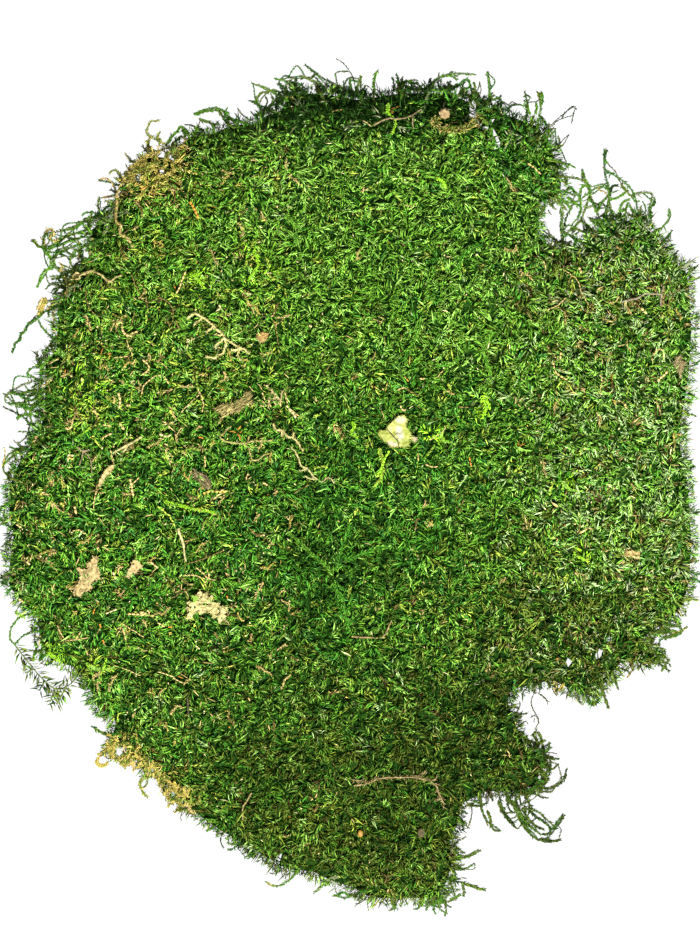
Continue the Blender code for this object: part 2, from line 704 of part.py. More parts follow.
def make_small_bits(parts, surface):
    turn = math.radians(12)
    pebble("dry_clump", (50.6, 160.9), (9.3, 3.4, 1.6), turn, "A89A68", parts, surface, rough=0.5)
    pebble("clump_disc", (42.6, 166.4), (2.4, 2.3, 0.6), 0.0, "C9A877", parts, surface)
    pebble("seed", (4.9, -156.6), (1.2, 1.6, 0.8), 0.0, "D99A3E", parts, surface)
    pebble("brown_disc", (32.2, -156.4), (1.8, 2.0, 0.6), 0.0, "7D6F45", parts, surface)


def main():
    clear_scene()
    parts = new_collection("Moss clump")
    cutters = new_collection("Cutters")
    mat = make_mat(parts, cutters)
    surface = Surface(mat)
    make_leaf_scraps(parts, surface)
    make_twigs(parts, cutters, surface)
    make_small_bits(parts, surface)


main()
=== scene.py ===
"""Looks of a moss clump: a mat of green feather moss with a frayed edge, and dry litter lying on it.

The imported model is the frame. Plans and sizes below are in millimetres in that frame, X to the right and Y
away from the viewer, seen from above, and each mesh is turned to metres as it is made.
"""

import logging
import math
from dataclasses import dataclass, field, fields
from enum import Enum
from typing import Any, ClassVar

import bmesh
import bpy
import numpy as np
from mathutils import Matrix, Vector, noise
from mathutils.bvhtree import BVHTree


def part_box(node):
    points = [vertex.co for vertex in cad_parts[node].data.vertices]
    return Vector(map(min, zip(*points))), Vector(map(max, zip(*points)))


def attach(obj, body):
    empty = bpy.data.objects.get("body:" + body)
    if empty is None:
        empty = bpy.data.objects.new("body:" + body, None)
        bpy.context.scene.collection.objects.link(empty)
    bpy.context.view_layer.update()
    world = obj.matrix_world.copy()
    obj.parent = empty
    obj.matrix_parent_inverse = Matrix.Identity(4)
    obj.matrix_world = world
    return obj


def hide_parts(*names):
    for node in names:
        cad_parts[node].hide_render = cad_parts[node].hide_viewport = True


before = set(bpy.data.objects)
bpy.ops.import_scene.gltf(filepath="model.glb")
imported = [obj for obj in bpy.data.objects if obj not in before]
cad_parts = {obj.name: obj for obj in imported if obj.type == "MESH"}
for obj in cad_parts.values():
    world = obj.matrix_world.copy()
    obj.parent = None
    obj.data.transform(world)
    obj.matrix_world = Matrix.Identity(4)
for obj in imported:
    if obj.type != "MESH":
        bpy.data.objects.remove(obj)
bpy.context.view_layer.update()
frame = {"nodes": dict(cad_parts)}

LOG = logging.getLogger("moss_clump")
MM = 0.001
BAKE_MAP = "OFBake"
SEED = 20261127
ROUND = 6.3  # radians: a full turn, near enough for a random one
UP = np.array([0.0, 0.0, 1.0])

Pair = tuple[float, float]
Plan = tuple[Pair, ...]
Rows = np.ndarray
Random = np.random.Generator


def plan(text: str) -> Plan:
    """Reads a route or an outline: x and y of each corner in millimetres, as in "-98,122 -109,122"."""
    return tuple((float(x), float(y)) for x, y in (pair.split(",") for pair in text.split()))


def plans(text: str) -> tuple[Plan, ...]:
    """Reads several routes, parted by semicolons."""
    return tuple(plan(route) for route in text.split(";"))


def traced(text: str) -> tuple[Plan, ...]:
    """Reads routes traced on the photograph, in its pixels, and turns them to millimetres."""
    return tuple(tuple(((x - 349.5) * 0.45, (484.5 - y) * 0.45) for x, y in route) for route in plans(text))


# Routes of the leafy fronds that leave the edge, clockwise from the upper left, as in the CAD part
FROND_ROUTES: tuple[Plan, ...] = plans("""
    -98,122 -109,122 -119,119 -127,115 -137,113; -119,119 -128,112 -135,106 -135,99 -139,92 -141,89;
    -111,121 -113,124 -113,129; -99,132 -107,136 -113,137; -110,110 -122,106 -125,100; -49,160 -58,169
    -65,169 -70,167; -30,166 -41,171 -45,173; -27,172 -35,177 -44,181; -22,173 -28,181 -34,183; -11,172
    -17,182 -26,183; -2,171 -5,179 -12,183 -20,189; 5,171 5,178 5,184; 23,173 25,181 30,181; 34,172 39,182
    46,185 56,185; 63,167 63,178 62,186; 79,161 80,171 79,177; 84,158 86,169 86,175; 92,139 105,137 109,129
    114,116; 105,137 105,142; 114,118 117,130 115,142 115,151; 115,142 123,137 128,131 131,118; 128,131
    136,131 135,124 133,115; 93,130 101,127 112,134 118,132; 101,127 97,118 95,105; 108,130 104,119 97,112
    96,106; 135,112 143,118 144,124; -126,82 -134,79 -141,76 -146,70 -150,64 -152,60; -130,63 -137,69
    -141,75; -133,48 -144,46 -151,43 -155,40 -155,37; -155,37 -149,36 -142,36 -134,37; -134,23 -142,26
    -148,31 -156,35; -134,42 -142,41 -149,36 -156,41; -134,30 -142,33 -147,36; -138,14 -144,19 -144,23
    -149,24; -138,19 -148,16 -154,13 -156,7 -152,3 -147,1; -150,-7 -157,-11 -157,-16 -150,-21; -136,-58
    -147,-59 -152,-64 -153,-69 -151,-72; -135,-65 -145,-67 -151,-72; -102,-112 -110,-112 -116,-109; -22,-172
    -27,-178 -33,-181 -38,-179; -4,-176 -10,-178 -16,-184; 8,-182 -1,-186 -7,-185; 19,-184 20,-190 18,-192;
    39,-184 36,-189 33,-190; 40,-184 44,-188 50,-185; 44,-178 53,-180 61,-183; 45,-172 52,-173 56,-171;
    44,-168 53,-168 59,-165; 58,-137 61,-150 68,-156; 66,-135 70,-149 74,-154; 73,-135 77,-148 81,-157
    88,-161 95,-160; 88,-161 93,-155 97,-149; 77,-146 84,-147 90,-152 93,-155; 83,-134 90,-137 96,-133
    98,-128; 85,-126 91,-128 94,-126; 83,-120 84,-115 84,-110; 74,-107 77,-104 80,-103; 105,-92 109,-99
    112,-98; 113,-88 115,-96 117,-101; 118,-83 121,-92; 134,-78 141,-80 143,-83; 140,-62 148,-64 149,-67
    143,-69 135,-67; 143,-69 148,-67 152,-64
    """)

# The fern-like frond at the lower left, with long leaflets, and the shoots that branch from it
PINNATE_ROUTES: tuple[Plan, ...] = plans("""
    -151,-72 -144,-81 -138,-88 -132,-92 -126,-90 -119,-82; -142,-83 -146,-85; -137,-88 -140,-93; -132,-91
    -135,-98; -127,-90 -132,-99
    """)

# Routes of the thin hairs and bare stems at the edge
HAIR_ROUTES: tuple[Plan, ...] = plans("""
    -135,106 -139,107 -144,110; -100,132 -106,130 -112,129; -89,146 -96,140 -102,140; -55,157 -63,163
    -66,164; -66,155 -70,161 -74,162; 3,170 2,182 -2,189 -6,192; 11,171 11,182 13,187; 24,173 24,179 24,184;
    86,157 93,164 101,170 100,163; 90,149 96,153 99,158; 140,106 144,110 145,115; -122,86 -128,89 -133,88;
    -54,-154 -58,-159 -57,-164; -44,-160 -50,-163 -47,-168; -28,-171 -33,-175 -36,-175; 55,-139 55,-149
    53,-155; 84,-110 85,-106 82,-99 84,-94 90,-98
    """)

# Shoots that lie on the mat: long green ones round a point below the middle, others here and there
RESTING_ROUTES: tuple[Plan, ...] = plans("""
    -7,-41.2 -10.6,-36.7 -15.5,-32.2 -20.5,-27.7 -26.8,-21.8; -6.1,-39.4 -3.8,-29.9 -2,-24.1 0.2,-17.3;
    -2.9,-34.4 2.5,-32.2 7.4,-30.4 12.4,-28.6 18.2,-27.2; -7,-42.1 -2,-40.7 1.6,-38 4.7,-34.9; -7,-42.1
    -5.2,-47.5 -3.4,-52 -2,-57.4 -0.7,-64.6; 32,76 31,70 29,65 27.5,61; 64,70 60,60 63,50 61,43; -59,-41
    -50,-45 -42,-43; 84,-34 90,-40 99,-39; -30,122 -24,116 -24,108; 60,108 52,104 48,96
    """)
LIME_ROUTES: tuple[Plan, ...] = plans("""
    -84,-7 -72,-10.5 -60.5,-12.5; 40,25 42,20 46,19; 59,40 61,35 60,30; 13,17 15,9 14,3 11,-1; -43,106
    -41,99 -45,92; -72,95 -68,92 -65,88; 95,2 99,-2 104,-3; 100,-31 106,-34; -136,-75 -131,-79; -119,-80
    -112,-83 -106,-82; -151,-57 -146,-60; 17.8,171.7 17.3,167.2 20.5,162.7 19.1,157.3; 38,137.5 41,136.5
    43.5,133.5; 40,135 43,132.5; -23.6,29 -20.9,31.3 -18.2,32.6; 1.1,29 2,25.9 1.1,23.2 3.8,20.9
    """)

# Routes of the dry golden strands at the upper left and lower left edges
GOLD_ROUTES: tuple[Plan, ...] = plans("""
    -78,150 -86,155 -91,158 -90,163 -86,164; -82,146 -90,150 -91,154 -89,157; -84,-128 -93,-133 -94,-137
    -91,-141; -78,-137 -83,-139 -81,-142 -78,-143; -105,-117 -112,-122 -114,-125 -112,-127 -109,-125;
    -98,-121 -103,-124 -101,-128
    """)


class Shade(Enum):
    """Columns of the leaf palette: each is one colour of leaf or stem, from its root to its tip."""

    FRESH = 0
    BRIGHT = 1
    DEEP = 2
    BLUISH = 3
    DARK = 4
    OLIVE = 5
    YELLOW_GREEN = 6
    LIME = 7
    PALE_GREEN = 8
    GREY_GREEN = 9
    BROWN = 10
    TAN = 11
    CREAM = 12
    GOLD = 13
    ORANGE = 14
    STEM = 15


def mix(shares: str) -> dict[Shade, float]:
    """Reads the share of each shade, as in "TAN 0.5, BROWN 0.25"."""
    return {Shade[name]: float(share) for name, share in (part.split() for part in shares.split(","))}


def picked(shares: str, count: int, rng: Random) -> Rows:
    """Draws a shade's number for each of many leaves.

    Args:
        shares: the mix, as text.
        count: how many leaves.
        rng: source of the random draws.

    Returns:
        The numbers of the shades.
    """
    parts = mix(shares)
    return rng.choice([shade.value for shade in parts], count, p=list(parts.values()))


# Root and tip colour of each shade, as sRGB hex values: the dark roots are partly the leaf's older base and
# partly painted shade of the leaves low in the cover
PALETTE: dict[Shade, tuple[str, str]] = {
    Shade.FRESH: ("0E2A01", "77B034"), Shade.BRIGHT: ("1C4803", "A5D65E"), Shade.DEEP: ("0A2602", "4B8E24"),
    Shade.BLUISH: ("092407", "4E933A"), Shade.DARK: ("071301", "2F5715"), Shade.OLIVE: ("182603", "788C30"),
    Shade.YELLOW_GREEN: ("283E03", "B8CC4A"), Shade.LIME: ("427608", "A8DE32"),
    Shade.PALE_GREEN: ("203E10", "B2D082"), Shade.GREY_GREEN: ("263216", "A2AA7A"),
    Shade.BROWN: ("2A220C", "7E6C3A"), Shade.TAN: ("665630", "C4AE6C"), Shade.CREAM: ("847A48", "DCD096"),
    Shade.GOLD: ("5A4E14", "BEAE54"), Shade.ORANGE: ("663E0C", "C88836"), Shade.STEM: ("1C280A", "4C5E20"),
}
COLUMNS = len(PALETTE)


def linear(code: str) -> tuple[float, float, float, float]:
    """Turns an sRGB hex value to a linear colour.

    Args:
        code: six hex digits.

    Returns:
        Red, green, blue and an alpha of 1.
    """
    channels = [int(code[i : i + 2], 16) / 255 for i in (0, 2, 4)]
    red, green, blue = (c / 12.92 if c <= 0.04045 else ((c + 0.055) / 1.055) ** 2.4 for c in channels)
    return red, green, blue, 1.0


def add_node(
    tree: bpy.types.NodeTree, kind: str, inputs: dict | None = None, **settings: Any
) -> bpy.types.Node:
    """Adds a node with its settings and links.

    Args:
        tree: the material's node tree.
        kind: the node's type name.
        inputs: a value, or another node's output, for each input by name or number.
        settings: the node's own properties.

    Returns:
        The new node.
    """
    node = tree.nodes.new(kind)
    for name, value in settings.items():
        setattr(node, name, value)
    for name, value in (inputs or {}).items():
        if isinstance(value, bpy.types.NodeSocket):
            tree.links.new(value, node.inputs[name])
        else:
            node.inputs[name].default_value = value
    return node


def set_stops(ramp: bpy.types.ColorRamp, stops: list[tuple[float, str]], steps: bool = False) -> None:
    """Gives a colour ramp its stops.

    Args:
        ramp: the ramp of a Color Ramp node.
        stops: position and sRGB hex value of each stop, in order.
        steps: True for plain bands, with no blend between stops.
    """
    ramp.interpolation = "CONSTANT" if steps else "EASE"
    while len(ramp.elements) < len(stops):
        ramp.elements.new(1.0)
    for element, (place, code) in zip(ramp.elements, stops):
        element.position = place
        element.color = linear(code)


def new_material(name: str) -> tuple[bpy.types.Material, bpy.types.NodeTree, bpy.types.Node]:
    """Makes a node material with a Principled BSDF.

    Args:
        name: the real material's name.

    Returns:
        The material, its node tree and its shader node.
    """
    material = bpy.data.materials.new(name)
    material.use_nodes = True
    tree = material.node_tree
    return material, tree, tree.nodes["Principled BSDF"]


def new_object(name: str, mesh: bpy.types.Mesh, material: bpy.types.Material) -> bpy.types.Object:
    """Puts a mesh in the scene as a finished piece.

    Args:
        name: the piece's name.
        mesh: its mesh, in place.
        material: what it is made of.

    Returns:
        The new object, at the origin.
    """
    item = bpy.data.objects.new(name, mesh)
    bpy.context.scene.collection.objects.link(item)
    mesh.materials.append(material)
    return item


def to_mesh(work: bmesh.types.BMesh, name: str) -> bpy.types.Mesh:
    """Turns finished work to a named mesh and frees it.

    Args:
        work: the mesh that was made.
        name: the new mesh's name.

    Returns:
        The mesh, in metres.
    """
    mesh = bpy.data.meshes.new(name)
    work.to_mesh(mesh)
    work.free()
    return mesh


def cut_faces(work: bmesh.types.BMesh, gone: Rows) -> None:
    """Cuts away the faces that are marked."""
    doomed = [face for face, out in zip(list(work.faces), gone) if out]
    bmesh.ops.delete(work, geom=doomed, context="FACES")


def unit(vectors: Rows) -> Rows:
    """Scales each row to length 1."""
    return vectors / np.maximum(np.linalg.norm(vectors, axis=-1, keepdims=True), 1e-9)


def laid(way: Rows, up: Rows) -> Rows:
    """Takes from each direction what points along the surface's own one."""
    return way - up * np.sum(way * up, 1, keepdims=True)


def run_along(line: Rows) -> Rows:
    """Distance run along a line at each of its points."""
    return np.concatenate([[0.0], np.cumsum(np.linalg.norm(np.diff(line, axis=0), axis=1))])


def at_stations(stations: Rows, run: Rows, rows: Rows) -> Rows:
    """Reads rows at stations along a line.

    Args:
        stations: distances run along the line.
        run: the distance run at each row.
        rows: what is known at each point of the line.

    Returns:
        One row for each station.
    """
    return np.column_stack([np.interp(stations, run, column) for column in rows.T])


def walk_round(corners: Rows, step: float) -> Rows:
    """Walks once round a closed outline.

    Args:
        corners: its corners, in order.
        step: distance between the places returned.

    Returns:
        Rows of x and y.
    """
    closed = np.vstack([corners, corners[:1]])
    run = run_along(closed)
    return at_stations(np.arange(0.0, run[-1], step), run, closed)


def wave(places: Rows, width: float, level: float = 0.0) -> Rows:
    """Smooth noise over the plan.

    Args:
        places: rows of x and y, in millimetres.
        width: size of the noise's lumps, in millimetres.
        level: picks another, unlike noise.

    Returns:
        A value from about -1 to 1 for each row.
    """
    return np.array([noise.noise(Vector((x / width, y / width, level))) for x, y in places[:, :2]])


def smooth_route(route: Plan, step: float) -> Rows:
    """Draws one smooth line through a route's points.

    Args:
        route: corners of the plan route.
        step: distance between the points returned.

    Returns:
        Rows of x and y.
    """
    corners = np.array(route, float)
    ends = np.vstack([2 * corners[0] - corners[1], corners, 2 * corners[-1] - corners[-2]])
    pieces = []
    for a, b, c, d in zip(ends, ends[1:], ends[2:], ends[3:]):
        t = np.linspace(0.0, 1.0, 12, endpoint=False)[:, None]
        bend, twist = 2 * a - 5 * b + 4 * c - d, 3 * b - a - 3 * c + d
        pieces.append(0.5 * (2 * b + (c - a) * t + bend * t**2 + twist * t**3))
    line = np.vstack(pieces + [corners[-1:]])
    run = run_along(line)
    stations = np.linspace(0.0, run[-1], max(int(run[-1] / step), 2) + 1)
    return at_stations(stations, run, line)


def distance_inside(outline: Rows, places: Rows) -> tuple[Rows, Rows]:
    """Measures places against a closed outline.

    Args:
        outline: rows of x and y, in order.
        places: rows of x and y.

    Returns:
        Each place's distance from the outline, plus inside and minus outside, and the nearest place on it.
    """
    best = np.full(len(places), np.inf)
    nearest = np.zeros((len(places), 2))
    inside = np.zeros(len(places), bool)
    x, y = places[:, 0], places[:, 1]
    for (x0, y0), (x1, y1) in zip(outline, np.roll(outline, -1, 0)):
        run = (x1 - x0) ** 2 + (y1 - y0) ** 2
        share = np.clip(((x - x0) * (x1 - x0) + (y - y0) * (y1 - y0)) / run, 0.0, 1.0)
        foot = np.column_stack([x0 + share * (x1 - x0), y0 + share * (y1 - y0)])
        away = np.hypot(x - foot[:, 0], y - foot[:, 1])
        closer = away < best
        best[closer], nearest[closer] = away[closer], foot[closer]
        if y0 != y1:
            inside ^= ((y0 > y) != (y1 > y)) & (x < (x1 - x0) * (y - y0) / (y1 - y0) + x0)
    return np.where(inside, best, -best), nearest


@dataclass(frozen=True)
class LeafFinish:
    """Moss leaf, living and dried: a film of cells one cell thick, waxy, which gives small soft glints.

    Its colour is read from the palette: across the map by shade and tone, along it from root to tip, where
    the dark roots are partly painted shade.
    """

    roughness: float = 0.5
    ior: float = 1.4
    glint: float = 0.13
    # Tone scales each leaf from darkest to lightest; the blue that low tones lose and high tones gain is
    # painted light: a more saturated painted shade and a paler painted highlight.
    darkest: tuple[float, float, float] = (0.15, 0.15, 0.03)
    lightest: tuple[float, float, float] = (1.9, 1.9, 2.15)

    def material(self) -> bpy.types.Material:
        """Builds the material."""
        material, tree, shader = new_material("moss leaf")
        place = add_node(tree, "ShaderNodeUVMap", uv_map=BAKE_MAP).outputs["UV"]
        axes = add_node(tree, "ShaderNodeSeparateXYZ", {"Vector": place})
        across, along = axes.outputs["X"], axes.outputs["Y"]
        roots = add_node(tree, "ShaderNodeValToRGB", {"Fac": across})
        tips = add_node(tree, "ShaderNodeValToRGB", {"Fac": across})
        set_stops(roots.color_ramp, [(s.value / COLUMNS, PALETTE[s][0]) for s in Shade], steps=True)
        set_stops(tips.color_ramp, [(s.value / COLUMNS, PALETTE[s][1]) for s in Shade], steps=True)
        leaf = add_node(
            tree, "ShaderNodeMix", {0: along, 6: roots.outputs["Color"], 7: tips.outputs["Color"]},
            data_type="RGBA",
        )
        column = add_node(tree, "ShaderNodeMath", {0: across, 1: COLUMNS}, operation="MULTIPLY")
        tone = add_node(tree, "ShaderNodeMath", {0: column.outputs[0]}, operation="FRACT")
        light = add_node(
            tree, "ShaderNodeMix", {0: tone.outputs[0], 6: (*self.darkest, 1.0), 7: (*self.lightest, 1.0)},
            data_type="RGBA",
        )
        both = {0: leaf.outputs[2], 1: light.outputs[2]}
        colour = add_node(tree, "ShaderNodeVectorMath", both, operation="MULTIPLY")
        tree.links.new(colour.outputs["Vector"], shader.inputs["Base Color"])
        shader.inputs["Roughness"].default_value = self.roughness
        shader.inputs["IOR"].default_value = self.ior
        shader.inputs["Specular IOR Level"].default_value = self.glint
        return material


@dataclass(frozen=True)
class Spot:
    """A soft-edged oval of another colour, on a piece seen from above."""

    centre: Pair
    radii: Pair
    colour: str
    turn: float = 0.0  # degrees
    strength: float = 1.0


@dataclass(frozen=True)
class PatternFinish:
    """A dry natural material whose colour wanders between three tones, with a rough broken surface."""

    name: str
    tones: str  # three sRGB hex values, dark to light
    grain: float = 2.4  # millimetres between one patch and the next
    roughness: float = 0.8
    relief: float = 0.25  # millimetres
    stretch: tuple[float, float, float] = (1.0, 1.0, 1.0)
    turn: float = 0.0  # degrees, of the stretched pattern
    spots: tuple[Spot, ...] = ()
    glint: float = 0.3

    @staticmethod
    def _with_spot(tree: bpy.types.NodeTree, place: Any, ragged: Any, colour: Any, spot: Spot) -> Any:
        """Mixes one spot over a colour.

        Args:
            tree: the material's node tree.
            place: Object coordinates.
            ragged: a noise that breaks up the spot's edge.
            colour: the colour under the spot.
            spot: where and what it is.

        Returns:
            The mixed colour.
        """
        local = add_node(
            tree, "ShaderNodeMapping",
            {
                "Vector": place, "Location": (spot.centre[0] * MM, spot.centre[1] * MM, 0.0),
                "Rotation": (0.0, 0.0, math.radians(spot.turn)),
                "Scale": (spot.radii[0] * MM, spot.radii[1] * MM, 1.0),
            },
            vector_type="TEXTURE",
        )
        away = add_node(tree, "ShaderNodeVectorMath", {0: local.outputs["Vector"]}, operation="LENGTH")
        edge = add_node(tree, "ShaderNodeMath", {0: away.outputs["Value"], 1: ragged}, operation="ADD")
        limits = {"From Min": 1.25, "From Max": 1.75, "To Min": spot.strength, "To Max": 0.0}
        share = add_node(tree, "ShaderNodeMapRange", {"Value": edge.outputs[0], **limits})
        mixed = add_node(
            tree, "ShaderNodeMix", {0: share.outputs["Result"], 6: colour, 7: linear(spot.colour)},
            data_type="RGBA",
        )
        return mixed.outputs[2]

    def material(self) -> bpy.types.Material:
        """Builds the material."""
        material, tree, shader = new_material(self.name)
        place = add_node(tree, "ShaderNodeTexCoord").outputs["Object"]
        grain = add_node(
            tree, "ShaderNodeMapping",
            {
                "Vector": place, "Rotation": (0.0, 0.0, math.radians(self.turn)),
                "Scale": tuple(self.grain * MM / share for share in self.stretch),
            },
            vector_type="TEXTURE",
        )
        patches = add_node(
            tree, "ShaderNodeTexNoise",
            {"Vector": grain.outputs["Vector"], "Scale": 1.0, "Detail": 5.0, "Roughness": 0.62},
        )
        ramp = add_node(tree, "ShaderNodeValToRGB", {"Fac": patches.outputs["Fac"]})
        set_stops(ramp.color_ramp, list(zip((0.34, 0.5, 0.66), self.tones.split())))
        lumps = {"Height": patches.outputs["Fac"], "Distance": self.relief * MM, "Strength": 0.8}
        bump = add_node(tree, "ShaderNodeBump", lumps)
        colour = ramp.outputs["Color"]
        for spot in self.spots:
            colour = self._with_spot(tree, place, patches.outputs["Fac"], colour, spot)
        tree.links.new(colour, shader.inputs["Base Color"])
        tree.links.new(bump.outputs["Normal"], shader.inputs["Normal"])
        shader.inputs["Roughness"].default_value = self.roughness
        shader.inputs["Specular IOR Level"].default_value = self.glint
        return material


class BladePattern:
    """A closed form of few faces, one long along Z: what leaves and stems are copied from."""

    def __init__(self, work: bmesh.types.BMesh) -> None:
        """Keeps a finished shape's points and faces.

        Args:
            work: the shape, which is freed.
        """
        bmesh.ops.triangulate(work, faces=work.faces)
        bmesh.ops.recalc_face_normals(work, faces=work.faces)
        self.points = np.array([vert.co for vert in work.verts])
        self.faces = np.array([[vert.index for vert in face.verts] for face in work.faces])
        work.free()

    @classmethod
    def spindle(cls, rings: tuple[Pair, ...], sides: int = 3) -> "BladePattern":
        """A spindle, round in section.

        Args:
            rings: share of the length and half width of each ring, from root to tip.
            sides: sides of its section.
        """
        work = bmesh.new()
        rim = bmesh.ops.create_circle(work, segments=sides, radius=rings[0][1])["verts"]
        bmesh.ops.translate(work, verts=rim, vec=(0.0, 0.0, rings[0][0]))
        cls._close(work, list(work.edges), 0.0)
        edges = [edge for edge in work.edges if edge.is_boundary]
        for (_, before), (height, wide) in zip(rings, rings[1:]):
            low = edges[0].verts[0].co.z
            made = bmesh.ops.extrude_edge_only(work, edges=edges)["geom"]
            rim = [part for part in made if isinstance(part, bmesh.types.BMVert)]
            bmesh.ops.scale(work, verts=rim, vec=(wide / before, wide / before, 1.0))
            bmesh.ops.translate(work, verts=rim, vec=(0.0, 0.0, height - low))
            edges = [part for part in made if isinstance(part, bmesh.types.BMEdge) and part.is_boundary]
        cls._close(work, edges, 1.0)
        return cls(work)

    @classmethod
    def folded(cls) -> "BladePattern":
        """A small leaf folded along its middle: a cone of three sides that leans until its base is a fold."""
        work = bmesh.new()
        bmesh.ops.create_cone(work, cap_ends=True, segments=3, radius1=1.0, radius2=0.0, depth=1.0)
        bmesh.ops.remove_doubles(work, verts=work.verts, dist=0.001)
        tip = max(work.verts, key=lambda vert: vert.co.z)
        tip.co = (0.0, -0.35, 1.0)
        others = (vert for vert in work.verts if vert is not tip)
        root, *sides = sorted(others, key=lambda vert: abs(vert.co.x))
        root.co = (0.0, -0.6, 0.0)
        for side in sides:
            side.co = (math.copysign(0.9, side.co.x), 0.5, 0.42)
        work.verts.index_update()
        return cls(work)

    @staticmethod
    def _close(work: bmesh.types.BMesh, edges: list, height: float) -> None:
        """Draws a ring's edges out to one point.

        Args:
            work: the mesh that is being made.
            edges: the ring's edges.
            height: where the point is.
        """
        made = bmesh.ops.extrude_edge_only(work, edges=edges)["geom"]
        tip = [part for part in made if isinstance(part, bmesh.types.BMVert)]
        bmesh.ops.pointmerge(work, verts=tip, merge_co=(0.0, 0.0, height))
        work.verts.index_update()


LEAF = BladePattern.folded()
LONG_BLADE = BladePattern.spindle(((0.3, 1.0), (0.7, 0.72)))
SHORT_BLADE = BladePattern.spindle(((0.45, 1.0),))


@dataclass
class Blades:
    """Many blades, with one row each in every field: where a blade starts, how it lies and its colour."""

    root: Rows
    along: Rows
    sweep: Rows  # how far its tip is swept aside, in millimetres
    length: Rows
    width: Rows
    spin: Rows  # turn about its own line, in radians
    shade: Rows  # column of the palette
    tone: Rows  # 0 dark to 1 light

    def __len__(self) -> int:
        """Number of blades."""
        return len(self.root)

    def where(self, chosen: Rows) -> "Blades":
        """The blades that a mask or list of row numbers picks."""
        return Blades(*(getattr(self, part.name)[chosen] for part in fields(self)))

    @staticmethod
    def joined(sets: "list[Blades]") -> "Blades":
        """Several sets of blades as one."""
        return Blades(*(np.concatenate([getattr(s, part.name) for s in sets]) for part in fields(Blades)))

    def mesh(
        self, name: str, pattern: BladePattern, mapped: bool = True, span: Pair = (0.0, 1.0)
    ) -> bpy.types.Mesh:
        """Copies the pattern once for each blade into one mesh, with its palette map.

        Args:
            name: the mesh's name.
            pattern: the blade that is copied.
            mapped: False leaves out the palette map.
            span: the part of the palette, from root to tip, that each blade shows.

        Returns:
            The mesh, in metres.
        """
        x, y, z = pattern.points.T
        near = np.where(np.abs(self.along[:, 2:3]) < 0.9, [[0.0, 0.0, 1.0]], [[1.0, 0.0, 0.0]])
        side = unit(np.cross(self.along, near))
        up = np.cross(side, self.along)
        cos, sin = np.cos(self.spin)[:, None], np.sin(self.spin)[:, None]
        side, up = side * cos + up * sin, up * cos - side * sin
        half = self.width[:, None] / 2
        places = (
            self.root[:, None, :] + side[:, None, :] * (half * x)[:, :, None]
            + up[:, None, :] * (half * y)[:, :, None]
            + self.along[:, None, :] * (self.length[:, None] * z)[:, :, None]
            + self.sweep[:, None, :] * (z * z)[None, :, None]
        )
        places[:, :, 2] = np.maximum(places[:, :, 2], 0.05)
        tone = np.clip(self.tone, 0.0, 1.0) * 0.8 + 0.1
        across = (self.shade[:, None] + tone[:, None] + x[None, :] * 0.06) / COLUMNS
        level = span[0] + (span[1] - span[0]) * z
        marks = np.dstack([across, np.broadcast_to(level, across.shape)]).reshape(-1, 2)
        faces = (pattern.faces[None] + (np.arange(len(self)) * len(x))[:, None, None]).reshape(-1, 3)
        mesh = bpy.data.meshes.new(name)
        mesh.vertices.add(places.shape[0] * places.shape[1])
        mesh.vertices.foreach_set("co", (places * MM).astype(np.float32).ravel())
        mesh.loops.add(faces.size)
        mesh.loops.foreach_set("vertex_index", faces.astype(np.int32).ravel())
        mesh.polygons.add(len(faces))
        mesh.polygons.foreach_set("loop_start", np.arange(0, faces.size, 3, dtype=np.int32))
        mesh.update(calc_edges=True)
        if mapped:
            layer = mesh.uv_layers.new(name=BAKE_MAP)
            layer.uv.foreach_set("vector", marks[faces.ravel()].astype(np.float32).ravel())
        return mesh


